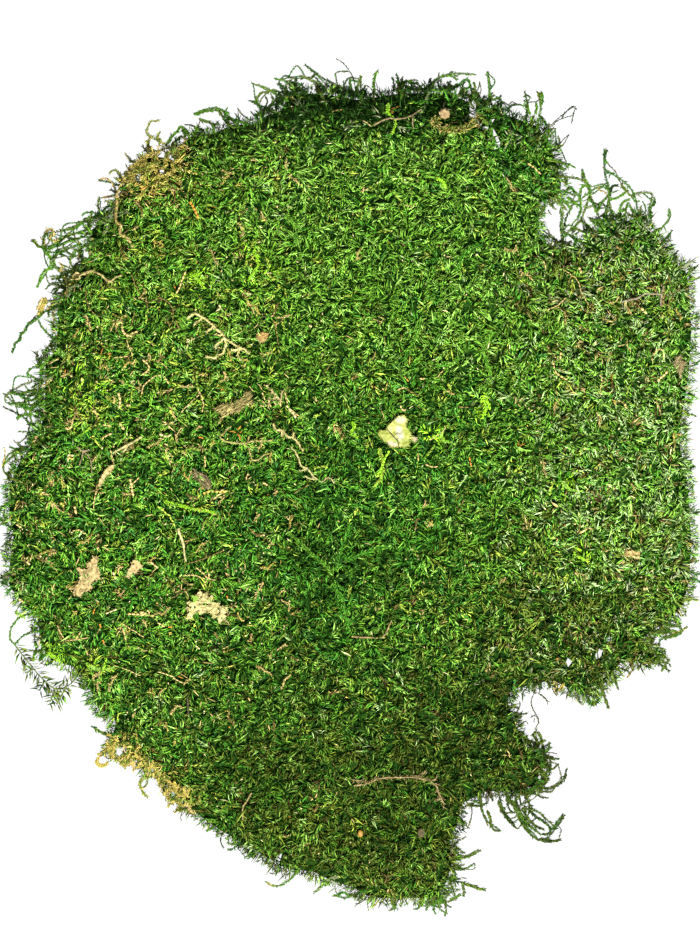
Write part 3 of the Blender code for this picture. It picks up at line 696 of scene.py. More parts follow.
class Ground:
    """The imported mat's own shape: its outline, the height and slope of its top, and its rim."""

    STEP = 2.0  # spacing of the height samples
    SOFT = 2  # samples over which the facets are smoothed

    def __init__(self, node: bpy.types.Object) -> None:
        """Measures the mat.

        Args:
            node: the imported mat.
        """
        work = bmesh.new()
        work.from_mesh(node.data)
        bmesh.ops.remove_doubles(work, verts=work.verts, dist=0.000001)
        self.tree = BVHTree.FromBMesh(work)
        self.outline = self._base_outline(work) / MM
        work.free()
        low, high = self.outline.min(0) - 2 * self.STEP, self.outline.max(0) + 2 * self.STEP
        self.corner = low
        counts = np.ceil((high - low) / self.STEP).astype(int) + 1
        grid = np.stack(np.meshgrid(*(np.arange(n) for n in counts), indexing="ij"), -1) * self.STEP + low
        inside = self.rim_distance(grid.reshape(-1, 2)).reshape(counts) > 0.0
        tops = np.array([self._hit(x, y) for x, y in grid.reshape(-1, 2)]).reshape(counts)
        self.tops = self._smoothed(np.where(inside, tops, 0.0), inside)
        self.slope_x, self.slope_y = np.gradient(self.tops, self.STEP)

    @staticmethod
    def _base_outline(work: bmesh.types.BMesh) -> Rows:
        """The rim of the mat's flat underside, as corners in order.

        Args:
            work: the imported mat, with its doubles merged.

        Returns:
            Rows of x and y, in metres.
        """
        flat = {f for f in work.faces if f.normal.z < -0.99 and f.calc_center_median().z < 0.00005}
        rim = [edge for edge in work.edges if sum(face in flat for face in edge.link_faces) == 1]
        beside: dict = {}
        for edge in rim:
            for vert in edge.verts:
                beside.setdefault(vert, []).append(edge.other_vert(vert))
        first = max(beside, key=lambda vert: vert.co.x)
        corners, last, now = [first], first, beside[first][0]
        while now is not first:
            corners.append(now)
            last, now = now, next(vert for vert in beside[now] if vert is not last)
        return np.array([vert.co.xy for vert in corners])

    def _hit(self, x: float, y: float) -> float:
        """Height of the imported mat's top at a place, or 0 beside it."""
        place = self.tree.ray_cast(Vector((x * MM, y * MM, 1.0)), Vector((0.0, 0.0, -1.0)))[0]
        return 0.0 if place is None else place.z / MM

    def _smoothed(self, tops: Rows, inside: Rows) -> Rows:
        """Evens out the facets inside the outline, and carries the rim's height a little past it.

        Args:
            tops: the sampled heights.
            inside: which samples are inside the outline.

        Returns:
            The smoothed table.
        """
        total, weight = np.zeros_like(tops), np.zeros_like(tops)
        reach = range(-self.SOFT, self.SOFT + 1)
        for i in reach:
            for j in reach:
                share = math.exp(-(i * i + j * j) / (0.6 * self.SOFT**2))
                total += share * np.roll(tops * inside, (i, j), (0, 1))
                weight += share * np.roll(inside.astype(float), (i, j), (0, 1))
        return np.where(weight > 0.0, total / np.maximum(weight, 1e-6), 4.0)

    def rim_distance(self, places: Rows) -> Rows:
        """Distance from the outline for each row of x and y: plus inside, minus outside."""
        return distance_inside(self.outline, places)[0]

    def scattered(self, count: int, margin: float, rng: Random) -> Rows:
        """Random places on the mat.

        Args:
            count: how many places are tried, over the outline's whole box.
            margin: least distance from the rim.
            rng: source of the random draws.

        Returns:
            The rows of x and y that are on the mat.
        """
        tries = rng.uniform(self.outline.min(0), self.outline.max(0), (count, 2))
        return tries[self.rim_distance(tries) > margin]

    def _read(self, table: Rows, places: Rows) -> Rows:
        """Reads a sampled table at each row of x and y, with an even blend between samples.

        Args:
            table: heights or slopes on the grid.
            places: rows of x and y.

        Returns:
            One value for each row.
        """
        at = (places[:, :2] - self.corner) / self.STEP
        at = np.clip(at, 0.0, np.array(table.shape) - 1.001)
        cell = at.astype(int)
        part = at - cell
        i, j = cell.T
        u, v = part.T
        low = table[i, j] * (1 - u) + table[i + 1, j] * u
        high = table[i, j + 1] * (1 - u) + table[i + 1, j + 1] * u
        return low * (1 - v) + high * v

    def top(self, places: Rows) -> Rows:
        """Height of the mat's top at each row of x and y."""
        return self._read(self.tops, places)

    def normal(self, places: Rows) -> Rows:
        """Outward direction of the mat's top at each row of x and y."""
        steep = [self._read(self.slope_x, places), self._read(self.slope_y, places)]
        return unit(np.column_stack([-steep[0], -steep[1], np.ones(len(places))]))

    def rim_walk(self, step: float) -> tuple[Rows, Rows]:
        """Walks round the outline.

        Args:
            step: distance between places.

        Returns:
            Rows of x and y, and the outward direction at each.
        """
        places = walk_round(self.outline, step)
        along = unit(np.roll(places, -2, 0) - np.roll(places, 2, 0))
        out = np.column_stack([along[:, 1], -along[:, 0]])
        flip = np.where(self.rim_distance(places + out * 0.5) > 0.0, -1.0, 1.0)
        return places, out * flip[:, None]


@dataclass(frozen=True)
class Zone:
    """A part of the mat with its own mix of colours, as a soft oval."""

    centre: Pair
    radii: Pair
    mix: dict[Shade, float]
    tone: float = 0.0
    turn: float = 0.0  # degrees

    def share(self, places: Rows) -> Rows:
        """How much of this zone each row of x and y has, from 0 to 1.

        Args:
            places: rows of x and y.

        Returns:
            One share for each row.
        """
        angle = math.radians(self.turn)
        dx, dy = (places[:, :2] - self.centre).T
        a = (dx * math.cos(angle) + dy * math.sin(angle)) / self.radii[0]
        b = (dy * math.cos(angle) - dx * math.sin(angle)) / self.radii[1]
        return np.exp(-((a * a + b * b) ** 1.5))


@dataclass
class Colours:
    """Where the mat has which colours."""

    base: dict[Shade, float] = field(default_factory=lambda: mix("""
        FRESH 0.52, BRIGHT 0.17, DEEP 0.16, BLUISH 0.02, YELLOW_GREEN 0.055, OLIVE 0.075, PALE_GREEN 0.02,
        BROWN 0.006, TAN 0.003"""))
    zones: tuple[Zone, ...] = (
        Zone((-105, -30), (55, 95), mix("DEEP 0.4, BLUISH 0.18, DARK 0.1"), 0.03),
        Zone((-95, 5), (52, 110), mix("BROWN 0.03, TAN 0.05, YELLOW_GREEN 0.05"), 0.08),
        Zone((0, -15), (62, 60), mix("DEEP 0.6, BLUISH 0.22, DARK 0.1"), -0.03),
        Zone((-10, -100), (90, 40), mix("DEEP 0.15, DARK 0.2, OLIVE 0.2"), -0.11),
        Zone((-60, 70), (60, 60), mix("FRESH 0.4, YELLOW_GREEN 0.1"), -0.02),
        Zone((15, 110), (90, 45), mix("BRIGHT 0.35, FRESH 0.5"), 0.05),
        # Dark band along the far rim: painted shade of the edge that falls away from the light, in dark
        # shades and a lower tone.
        Zone((5, 170), (62, 10), mix("DARK 5.0, DEEP 0.6, GREY_GREEN 0.3"), -0.08),
        Zone((76, 150), (30, 11), mix("DEEP 0.8, GREY_GREEN 0.2, BLUISH 0.3, DARK 0.3"), 0.02, -53),
        Zone((124, 106), (26, 14), mix("GREY_GREEN 0.4, PALE_GREEN 0.15, DEEP 0.3"), 0.06),
        Zone((60, -118), (34, 34), mix("OLIVE 0.9, DARK 1.0, BROWN 0.1"), -0.13),
        Zone((130, 10), (48, 120), mix("PALE_GREEN 0.5, BRIGHT 0.1, BROWN 0.06, TAN 0.04"), 0.07),
        Zone((108, 92), (34, 17), mix("BROWN 0.35, OLIVE 0.6, GREY_GREEN 0.35"), -0.02),
        Zone((90, -45), (60, 30), mix("OLIVE 0.5, TAN 0.02"), 0.03),
        Zone((110, -68), (50, 24), mix("OLIVE 1.3, DARK 0.9, BROWN 0.2, GREY_GREEN 0.3"), -0.14),
        Zone((84, -90), (30, 7), mix("DARK 1.0, OLIVE 0.8, BROWN 0.2"), -0.12, 8),
        Zone((10, -150), (85, 42), mix("OLIVE 1.1, DARK 0.4, BROWN 0.12"), -0.32),
        Zone((-12, -149), (16, 10), mix("YELLOW_GREEN 0.5, BRIGHT 0.2"), 0.1),
        Zone((-60, -120), (50, 30), mix("OLIVE 0.2, DEEP 0.3"), 0.02),
        Zone((-10, -38), (16, 20), mix("DARK 0.9, DEEP 0.9"), -0.08, 40),
        Zone((-115, 38), (10, 17), mix("LIME 0.7, YELLOW_GREEN 0.9"), 0.04),
        Zone((40.3, 21.4), (4, 4), mix("LIME 3.0"), 0.1), Zone((60.5, 35.3), (3, 4), mix("LIME 2.5"), 0.1),
        Zone((97.9, -0.2), (4, 4), mix("LIME 2.0, YELLOW_GREEN 1.0")),
        Zone((103.7, -32.6), (5, 4), mix("LIME 2.0, YELLOW_GREEN 1.0")),
        Zone((-43, 98.8), (6, 10), mix("YELLOW_GREEN 1.8, LIME 1.0"), 0.0, 25),
        Zone((-69.5, 92.5), (5, 4), mix("LIME 2.4"), 0.06), Zone((15.1, 10.1), (4, 7), mix("LIME 1.6")),
        Zone((-133.4, -77.2), (5, 5), mix("LIME 2.4")),
        Zone((-114.5, -81.2), (8, 4), mix("LIME 1.6, YELLOW_GREEN 1.2")),
        Zone((-147, -58.7), (5, 4), mix("LIME 2.4")),
        Zone((-88, 141), (14, 13), mix("GOLD 2.2, OLIVE 0.4, TAN 0.7"), 0.18, 20),
        Zone((-100, -122), (15, 8), mix("GOLD 2.6, TAN 0.5"), 0.12, -35),
        Zone((-82, -137), (15, 9), mix("GOLD 2.4, OLIVE 0.8"), 0.1, -38),
        Zone((67, -90), (7, 5), mix("BROWN 0.4")),
        Zone((96, -88), (6, 8), mix("OLIVE 1.2, BROWN 1.0, GOLD 0.3"), 0.04),
    )

    def mixes(self, places: Rows) -> tuple[Rows, Rows]:
        """Mix of shades at each row of x and y.

        Args:
            places: rows of x and y.

        Returns:
            A row of shares of the palette's columns for each place, and what to add to its tone.
        """
        shares = np.zeros((len(places), COLUMNS))
        for shade, part in self.base.items():
            shares[:, shade.value] = part
        tone = np.zeros(len(places))
        for zone in self.zones:
            here = zone.share(places)
            for shade, part in zone.mix.items():
                shares[:, shade.value] += part * here
            tone += zone.tone * here
        return shares / shares.sum(1, keepdims=True), tone

    def drawn(self, places: Rows, chance: Rows) -> tuple[Rows, Rows]:
        """Picks one shade at each place.

        Args:
            places: rows of x and y.
            chance: an even random number from 0 to 1 for each place.

        Returns:
            The palette column of each place, and what to add to its tone.
        """
        shares, tone = self.mixes(places)
        column = (np.cumsum(shares, 1) < chance[:, None]).sum(1)
        return np.minimum(column, COLUMNS - 1), tone


# Small gaps through the mat: x, y and radius
GAPS: tuple[tuple[float, float, float], ...] = (
    (98.6, -80.6, 1.1), (98.9, -79.4, 0.8), (112.4, -75.2, 0.9), (112.2, -76.8, 0.8), (117.1, -68.1, 0.5),
    (137.9, -70.4, 0.5), (55.6, 167.2, 0.6), (58.9, 162.8, 0.6), (61.1, 160.6, 0.7), (63.0, 169.9, 0.6),
    (64.4, 164.0, 0.7), (64.8, 161.6, 0.8), (65.0, 159.0, 0.8), (65.5, 156.6, 0.8), (66.4, 154.6, 0.8),
    (67.2, 152.8, 0.7), (-84.6, 147.6, 1.3), (-90.0, 146.0, 1.1), (-80.2, 146.6, 0.8),
    (-103.3, -120.4, 1.3), (-31.2, -167.4, 0.8), (95.6, 134.4, 1.0), (93.6, 112.0, 1.2), (90.2, 120.0, 1.2),
    (-124.0, 100.8, 1.2), (-118.4, 103.4, 1.2), (-115.2, 114.6, 1.0), (-128.0, 101.6, 1.0),
    (-94.8, 138.4, 1.0), (-84.0, 140.8, 0.9),
)


def clear_of_gaps(blades: Blades) -> Rows:
    """Which blades stay clear of the small gaps through the mat.

    Args:
        blades: the leaves to test.

    Returns:
        True for each leaf that has its root, middle and tip outside every gap.
    """
    clear = np.ones(len(blades), bool)
    for x, y, radius in GAPS:
        for share in (0.0, 0.5, 1.0):
            place = blades.root[:, :2] + blades.along[:, :2] * (share * blades.length)[:, None]
            away = np.hypot(place[:, 0] - x, place[:, 1] - y)
            near = np.flatnonzero(away < 2.0 * radius)
            clear[near] &= away[near] > radius * (1.0 + 0.6 * wave(place[near], 1.1, 17.0))
    return clear


@dataclass
class MossCover:
    """The living moss: small feathery sprays of leafy shoots all over the mat, their tips at its surface."""

    ground: Ground
    colours: Colours
    material: bpy.types.Material
    spacing: float = 2.28
    pairs: int = 6
    spray_length: float = 5.0
    leaf_length: float = 3.5
    leaf_width: float = 0.62
    # the deeper a spray sits, the darker its painted shade
    hollow: float = 2.2  # how deep the darkest sprays sit
    roped: float = 0.45  # share of sprays that are one curved shoot with its leaves held close
    sectors: int = 5
    tries: int = 110000  # places tried for the sprays
    old_shoots: int = 16000
    rim_levels: tuple[float, ...] = (0.9, 2.2, 3.6, 5.0)
    # Share of leaves drawn pale cream: flecks of painted highlight, like small glints.
    cream_share: float = 0.004

    def _spread(self, rng: Random) -> Rows:
        """Places for the sprays: random, but never close together.

        Args:
            rng: source of the random draws.

        Returns:
            Rows of x and y.
        """
        tries = self.ground.scattered(self.tries, 0.4, rng)
        heights = self.ground.top(tries)
        cells: dict = {}
        kept = []
        for row, (x, y) in enumerate(tries):
            i, j = int(x // self.spacing), int(y // self.spacing)
            z = heights[row]
            near = (p for a in (i - 1, i, i + 1) for b in (j - 1, j, j + 1) for p in cells.get((a, b), ()))
            if all((x - p[0]) ** 2 + (y - p[1]) ** 2 + (z - p[2]) ** 2 > self.spacing**2 for p in near):
                cells.setdefault((i, j), []).append((x, y, z))
                kept.append(row)
        return tries[kept]

    def _headings(self, places: Rows, rng: Random) -> Rows:
        """Which way each spray lies in plan: in loose swirls, and outwards at the rim.

        Args:
            places: rows of x and y.
            rng: source of the random draws.

        Returns:
            One direction for each row.
        """
        turn = 2.6 * math.pi * wave(places, 22.0, 7.0) + rng.normal(0.0, 1.3, len(places))
        headings = np.column_stack([np.cos(turn), np.sin(turn)])
        out = self.ground.normal(places)[:, :2]
        rim = np.clip(1.0 - self.ground.rim_distance(places) / 9.0, 0.0, 1.0)[:, None]
        return unit(headings * (1.0 - 0.75 * rim) + unit(out) * 1.3 * rim)

    def _sprays(self, rng: Random) -> Blades:
        """Builds every spray: a main shoot with side shoots in pairs.

        Args:
            rng: source of the random draws.
        """
        plan = self._spread(rng)
        count = len(plan)
        up = self.ground.normal(plan)
        dips = 0.4 + 1.1 * wave(plan, 6.0, 3.0) + rng.normal(0.0, 0.35, count)
        deep = self.hollow * np.clip(dips, 0.0, 1.4)
        deep = np.where(rng.random(count) < 0.14, -0.8, deep)  # a few lie over the litter
        centre = np.column_stack([plan, self.ground.top(plan)]) - up * (1.0 + deep)[:, None]
        heading = np.column_stack([self._headings(plan, rng), np.zeros(count)])
        flat = unit(laid(heading, up))
        across = np.cross(up, flat)
        stem = unit(flat + up * rng.uniform(0.0, 0.55, count)[:, None])
        roped = rng.random(count) < self.roped
        size = rng.uniform(0.65, 1.35, count)
        reach = (self.spray_length * size * np.where(roped, 1.3, 1.0))[:, None]
        curl = across * (rng.normal(0.0, 1.2, count) * np.where(roped, 1.8, 1.0))[:, None]
        shade, zone_tone = self.colours.drawn(plan, rng.random(count))
        # Deeper sprays take a lower tone: painted shade of the hollows in the cover.
        tone = 0.42 + zone_tone + rng.normal(0.0, 0.1, count) - 0.11 * deep
        main = centre - stem * reach * 0.5
        shoots = [Blades(
            root=main, along=stem, sweep=curl, length=reach[:, 0],
            width=self.leaf_width * rng.uniform(0.8, 1.2, count), spin=rng.uniform(0.0, ROUND, count),
            shade=shade, tone=tone - 0.1,
        )]
        for pair in range(self.pairs):
            for hand in (-1.0, 1.0):
                share = (pair + 0.6 + rng.normal(0.0, 0.35, count)) / (self.pairs + 0.2)
                share = np.clip(share, 0.0, 1.0)[:, None]
                start = main + stem * reach * share + curl * share**2
                ahead = unit(stem * reach + 2.0 * curl * share)
                lean = np.where(roped, 26.0, 66.0 - 28.0 * share[:, 0]) + rng.normal(0.0, 15.0, count)
                lean = np.radians(lean)[:, None]
                lift = (rng.uniform(-0.15, 0.85, count) * np.where(roped, 0.5, 1.0))[:, None]
                along = unit(ahead * np.cos(lean) + across * np.sin(lean) * hand + up * lift)
                long = self.leaf_length * size * (1.1 - 0.5 * share[:, 0]) * rng.uniform(0.55, 1.3, count)
                long = long * np.where(roped, 0.55, 1.0)
                bend = stem * rng.uniform(-0.1, 0.95, count)[:, None]
                bend = bend + up * rng.normal(0.0, 0.3, count)[:, None]
                mixed, _ = self.colours.drawn(plan, rng.random(count))
                own = np.where(rng.random(count) < 0.35, mixed, shade)
                shoots.append(Blades(
                    root=start, along=along, sweep=bend * long[:, None], length=long,
                    width=self.leaf_width * rng.uniform(0.6, 1.3, count) * np.where(roped, 1.3, 1.0),
                    spin=rng.uniform(0.0, ROUND, count),
                    # A few leaves pale cream: painted highlights.
                    shade=np.where(rng.random(count) < self.cream_share, Shade.CREAM.value, own),
                    tone=tone + rng.normal(0.0, 0.26, count) * np.where(roped, 0.55, 1.0) + 0.07 * roped,
                ))
        return Blades.joined(shoots)

    def _underlayer(self, rng: Random) -> Blades:
        """Older shoots that lie lower, between the bed and the sprays, with a low tone that is partly their
        own and partly painted shade.

        Args:
            rng: source of the random draws.

        Returns:
            Their leaves.
        """
        plan = self.ground.scattered(self.old_shoots, 0.8, rng)
        count = len(plan)
        up = self.ground.normal(plan)
        turn = rng.uniform(0.0, 2.0 * math.pi, count)
        flat = np.column_stack([np.cos(turn), np.sin(turn), np.zeros(count)])
        flat = unit(laid(flat, up))
        along = unit(flat + up * rng.uniform(-0.05, 0.4, count)[:, None])
        shade, zone_tone = self.colours.drawn(plan, rng.random(count))
        return Blades(
            root=np.column_stack([plan, self.ground.top(plan)]) - up * rng.uniform(2.2, 3.6, count)[:, None],
            along=along, sweep=flat[:, [1, 0, 2]] * rng.normal(0.0, 0.8, count)[:, None],
            length=rng.uniform(3.0, 5.5, count), width=rng.uniform(0.7, 1.1, count),
            spin=rng.uniform(0.0, ROUND, count),
            shade=np.where(rng.random(count) < 0.04, Shade.BROWN.value, shade),
            # The low tone is partly painted shade under the sprays.
            tone=0.2 + zone_tone + rng.normal(0.0, 0.14, count),
        )

    def _rim(self, rng: Random) -> Blades:
        """Shoots that stand out all round the side, lower ones browner and hanging.

        Args:
            rng: source of the random draws.

        Returns:
            Their leaves.
        """
        sets = []
        for level in self.rim_levels:
            places, out = self.ground.rim_walk(0.8)
            count = len(places)
            places = places + out * rng.uniform(-2.6, 0.2, count)[:, None]
            flat = np.column_stack([out, np.zeros(count)])
            along_rim = np.column_stack([-out[:, 1], out[:, 0], np.zeros(count)])
            drift = rng.normal(0.0, 0.55, count)[:, None]
            tilt = (0.28 * (level - 2.6) / 2.0 + rng.normal(0.0, 0.22, count))[:, None]
            along = unit(flat + along_rim * drift + UP * tilt)
            shade, zone_tone = self.colours.drawn(places, rng.random(count))
            old = rng.random(count) < 0.36 - 0.08 * level
            long = rng.uniform(1.4, 3.8, count) * np.clip(0.8 + 1.3 * wave(places, 7.0, 21.0), 0.35, 1.7)
            sets.append(Blades(
                root=np.column_stack([places, np.full(count, level) + rng.normal(0.0, 0.4, count)]),
                along=along,
                sweep=along_rim * (drift * long[:, None]) * rng.uniform(-0.2, 0.5, count)[:, None],
                length=long, width=self.leaf_width * rng.uniform(0.7, 1.15, count),
                spin=rng.uniform(0.0, ROUND, count), shade=np.where(old, Shade.BROWN.value, shade),
                tone=0.3 + 0.03 * level + zone_tone + rng.normal(0.0, 0.12, count),
            ))
        return Blades.joined(sets)

    def build(self) -> list[bpy.types.Object]:
        """Makes the cover's pieces, none of them too heavy to handle."""
        rng = np.random.default_rng(SEED)
        shoots = Blades.joined([self._sprays(rng), self._underlayer(rng), self._rim(rng)])
        shoots = shoots.where(clear_of_gaps(shoots))
        turn = np.arctan2(shoots.root[:, 1], shoots.root[:, 0])
        slices = np.array_split(np.argsort(turn, kind="stable"), self.sectors)
        pieces = []
        for number, rows in enumerate(slices, start=1):
            name = f"moss_shoots_{number}"
            pieces.append(new_object(name, shoots.where(rows).mesh(name, LEAF), self.material))
        return pieces


class FrondStyle(Enum):
    """How a strand is leafed."""

    LEAFY = "short leaves close to the stem, and small side shoots"
    STOUT = "a thick woolly green shoot"
    THIN = "a thin green shoot"
    SHADED = "a dark old shoot"
    PINNATE = "long flat leaflets in two rows"
    HAIR = "a thin bare stem with few leaves"
    GOLD = "dry curled golden leaves"
    DRY = "a dead tan stem"
    STALK = "a thick old stem with a coat of dry moss"
    SPRIG = "a small dead branched shoot that lies on the mat"
    RESTING = "a long green shoot that lies on the mat"
    LIME_RESTING = "a young yellow-green shoot that lies on the mat"


@dataclass(frozen=True)
class Fringe:
    """A stretch of the edge, as an oval, with many loose strands of one style."""

    style: FrondStyle
    centre: Pair
    radii: Pair
    count: int
    length: Pair
    inset: float = 1.5
    wander: float = 1.2
    links: int = 0  # thin shoots that join one strand to the next


@dataclass(frozen=True)
class FrondForm:
    """Sizes of one style of strand, in millimetres, at its root and tip."""

    stem: Pair
    leaf: Pair
    leaf_width: float
    leaf_step: float
    lean: float  # degrees between leaf and stem
    branch: float
    branch_step: float
    shades: dict[Shade, float]
    tone: float
    resting: bool = False
    lift: float = 0.0  # height above the other strands


GREENS = mix("DEEP 0.3, FRESH 0.3, DARK 0.2, OLIVE 0.25, GREY_GREEN 0.12")
DEAD = mix("TAN 0.5, GOLD 0.25, BROWN 0.25")
FROND_FORMS: dict[FrondStyle, FrondForm] = {
    FrondStyle.LEAFY: FrondForm((0.72, 0.5), (1.45, 1.0), 0.58, 0.6, 34.0, 2.6, 2.8, GREENS, 0.3),
    FrondStyle.STOUT: FrondForm((0.95, 0.65), (1.6, 1.1), 0.76, 0.5, 32.0, 2.2, 3.0, GREENS, 0.29),
    FrondStyle.THIN: FrondForm((0.68, 0.5), (1.1, 0.8), 0.5, 0.7, 30.0, 0.0, 0.0, GREENS, 0.26),
    # Dark shoots for the far rim, their colour painted shade.
    FrondStyle.SHADED: FrondForm(
        (0.8, 0.55), (1.5, 1.0), 0.6, 0.6, 34.0, 2.6, 2.6, mix("DARK 0.8, DEEP 0.2, OLIVE 0.1"), 0.26
    ),
    FrondStyle.PINNATE: FrondForm(
        (1.0, 0.8), (5.4, 4.2), 1.15, 1.4, 64.0, 0.0, 0.0, mix("OLIVE 0.4, FRESH 0.35, DARK 0.3"), 0.3
    ),
    FrondStyle.HAIR: FrondForm(
        (0.62, 0.5), (0.9, 0.7), 0.45, 2.0, 36.0, 0.0, 0.0, mix("DARK 0.4, STEM 0.4, BROWN 0.2"), 0.2
    ),
    FrondStyle.GOLD: FrondForm(
        (1.0, 0.6), (1.7, 1.2), 0.6, 0.6, 36.0, 2.6, 2.2, mix("GOLD 0.6, TAN 0.15, OLIVE 0.35"), 0.48
    ),
    FrondStyle.DRY: FrondForm((0.8, 0.5), (1.3, 0.9), 0.42, 0.5, 30.0, 1.6, 3.2, DEAD, 0.44),
    FrondStyle.STALK: FrondForm(
        (2.4, 1.8), (1.2, 0.9), 0.6, 0.5, 36.0, 0.0, 0.0, mix("OLIVE 0.5, TAN 0.4, GOLD 0.15"),
        0.44, False, 1.3
    ),
    FrondStyle.SPRIG: FrondForm((0.7, 0.45), (1.0, 0.7), 0.4, 0.9, 44.0, 2.8, 2.2, DEAD, 0.52, True),
    FrondStyle.RESTING: FrondForm(
        (0.9, 0.6), (2.6, 1.5), 0.66, 0.6, 38.0, 5.0, 2.4,
        mix("FRESH 0.5, DEEP 0.5, BRIGHT 0.2, DARK 0.15"), 0.45, True,
    ),
    FrondStyle.LIME_RESTING: FrondForm(
        (0.8, 0.6), (1.7, 1.0), 0.6, 0.6, 40.0, 2.0, 2.0,
        mix("LIME 0.7, YELLOW_GREEN 0.3, BRIGHT 0.2"), 0.4, True,
    ),
}

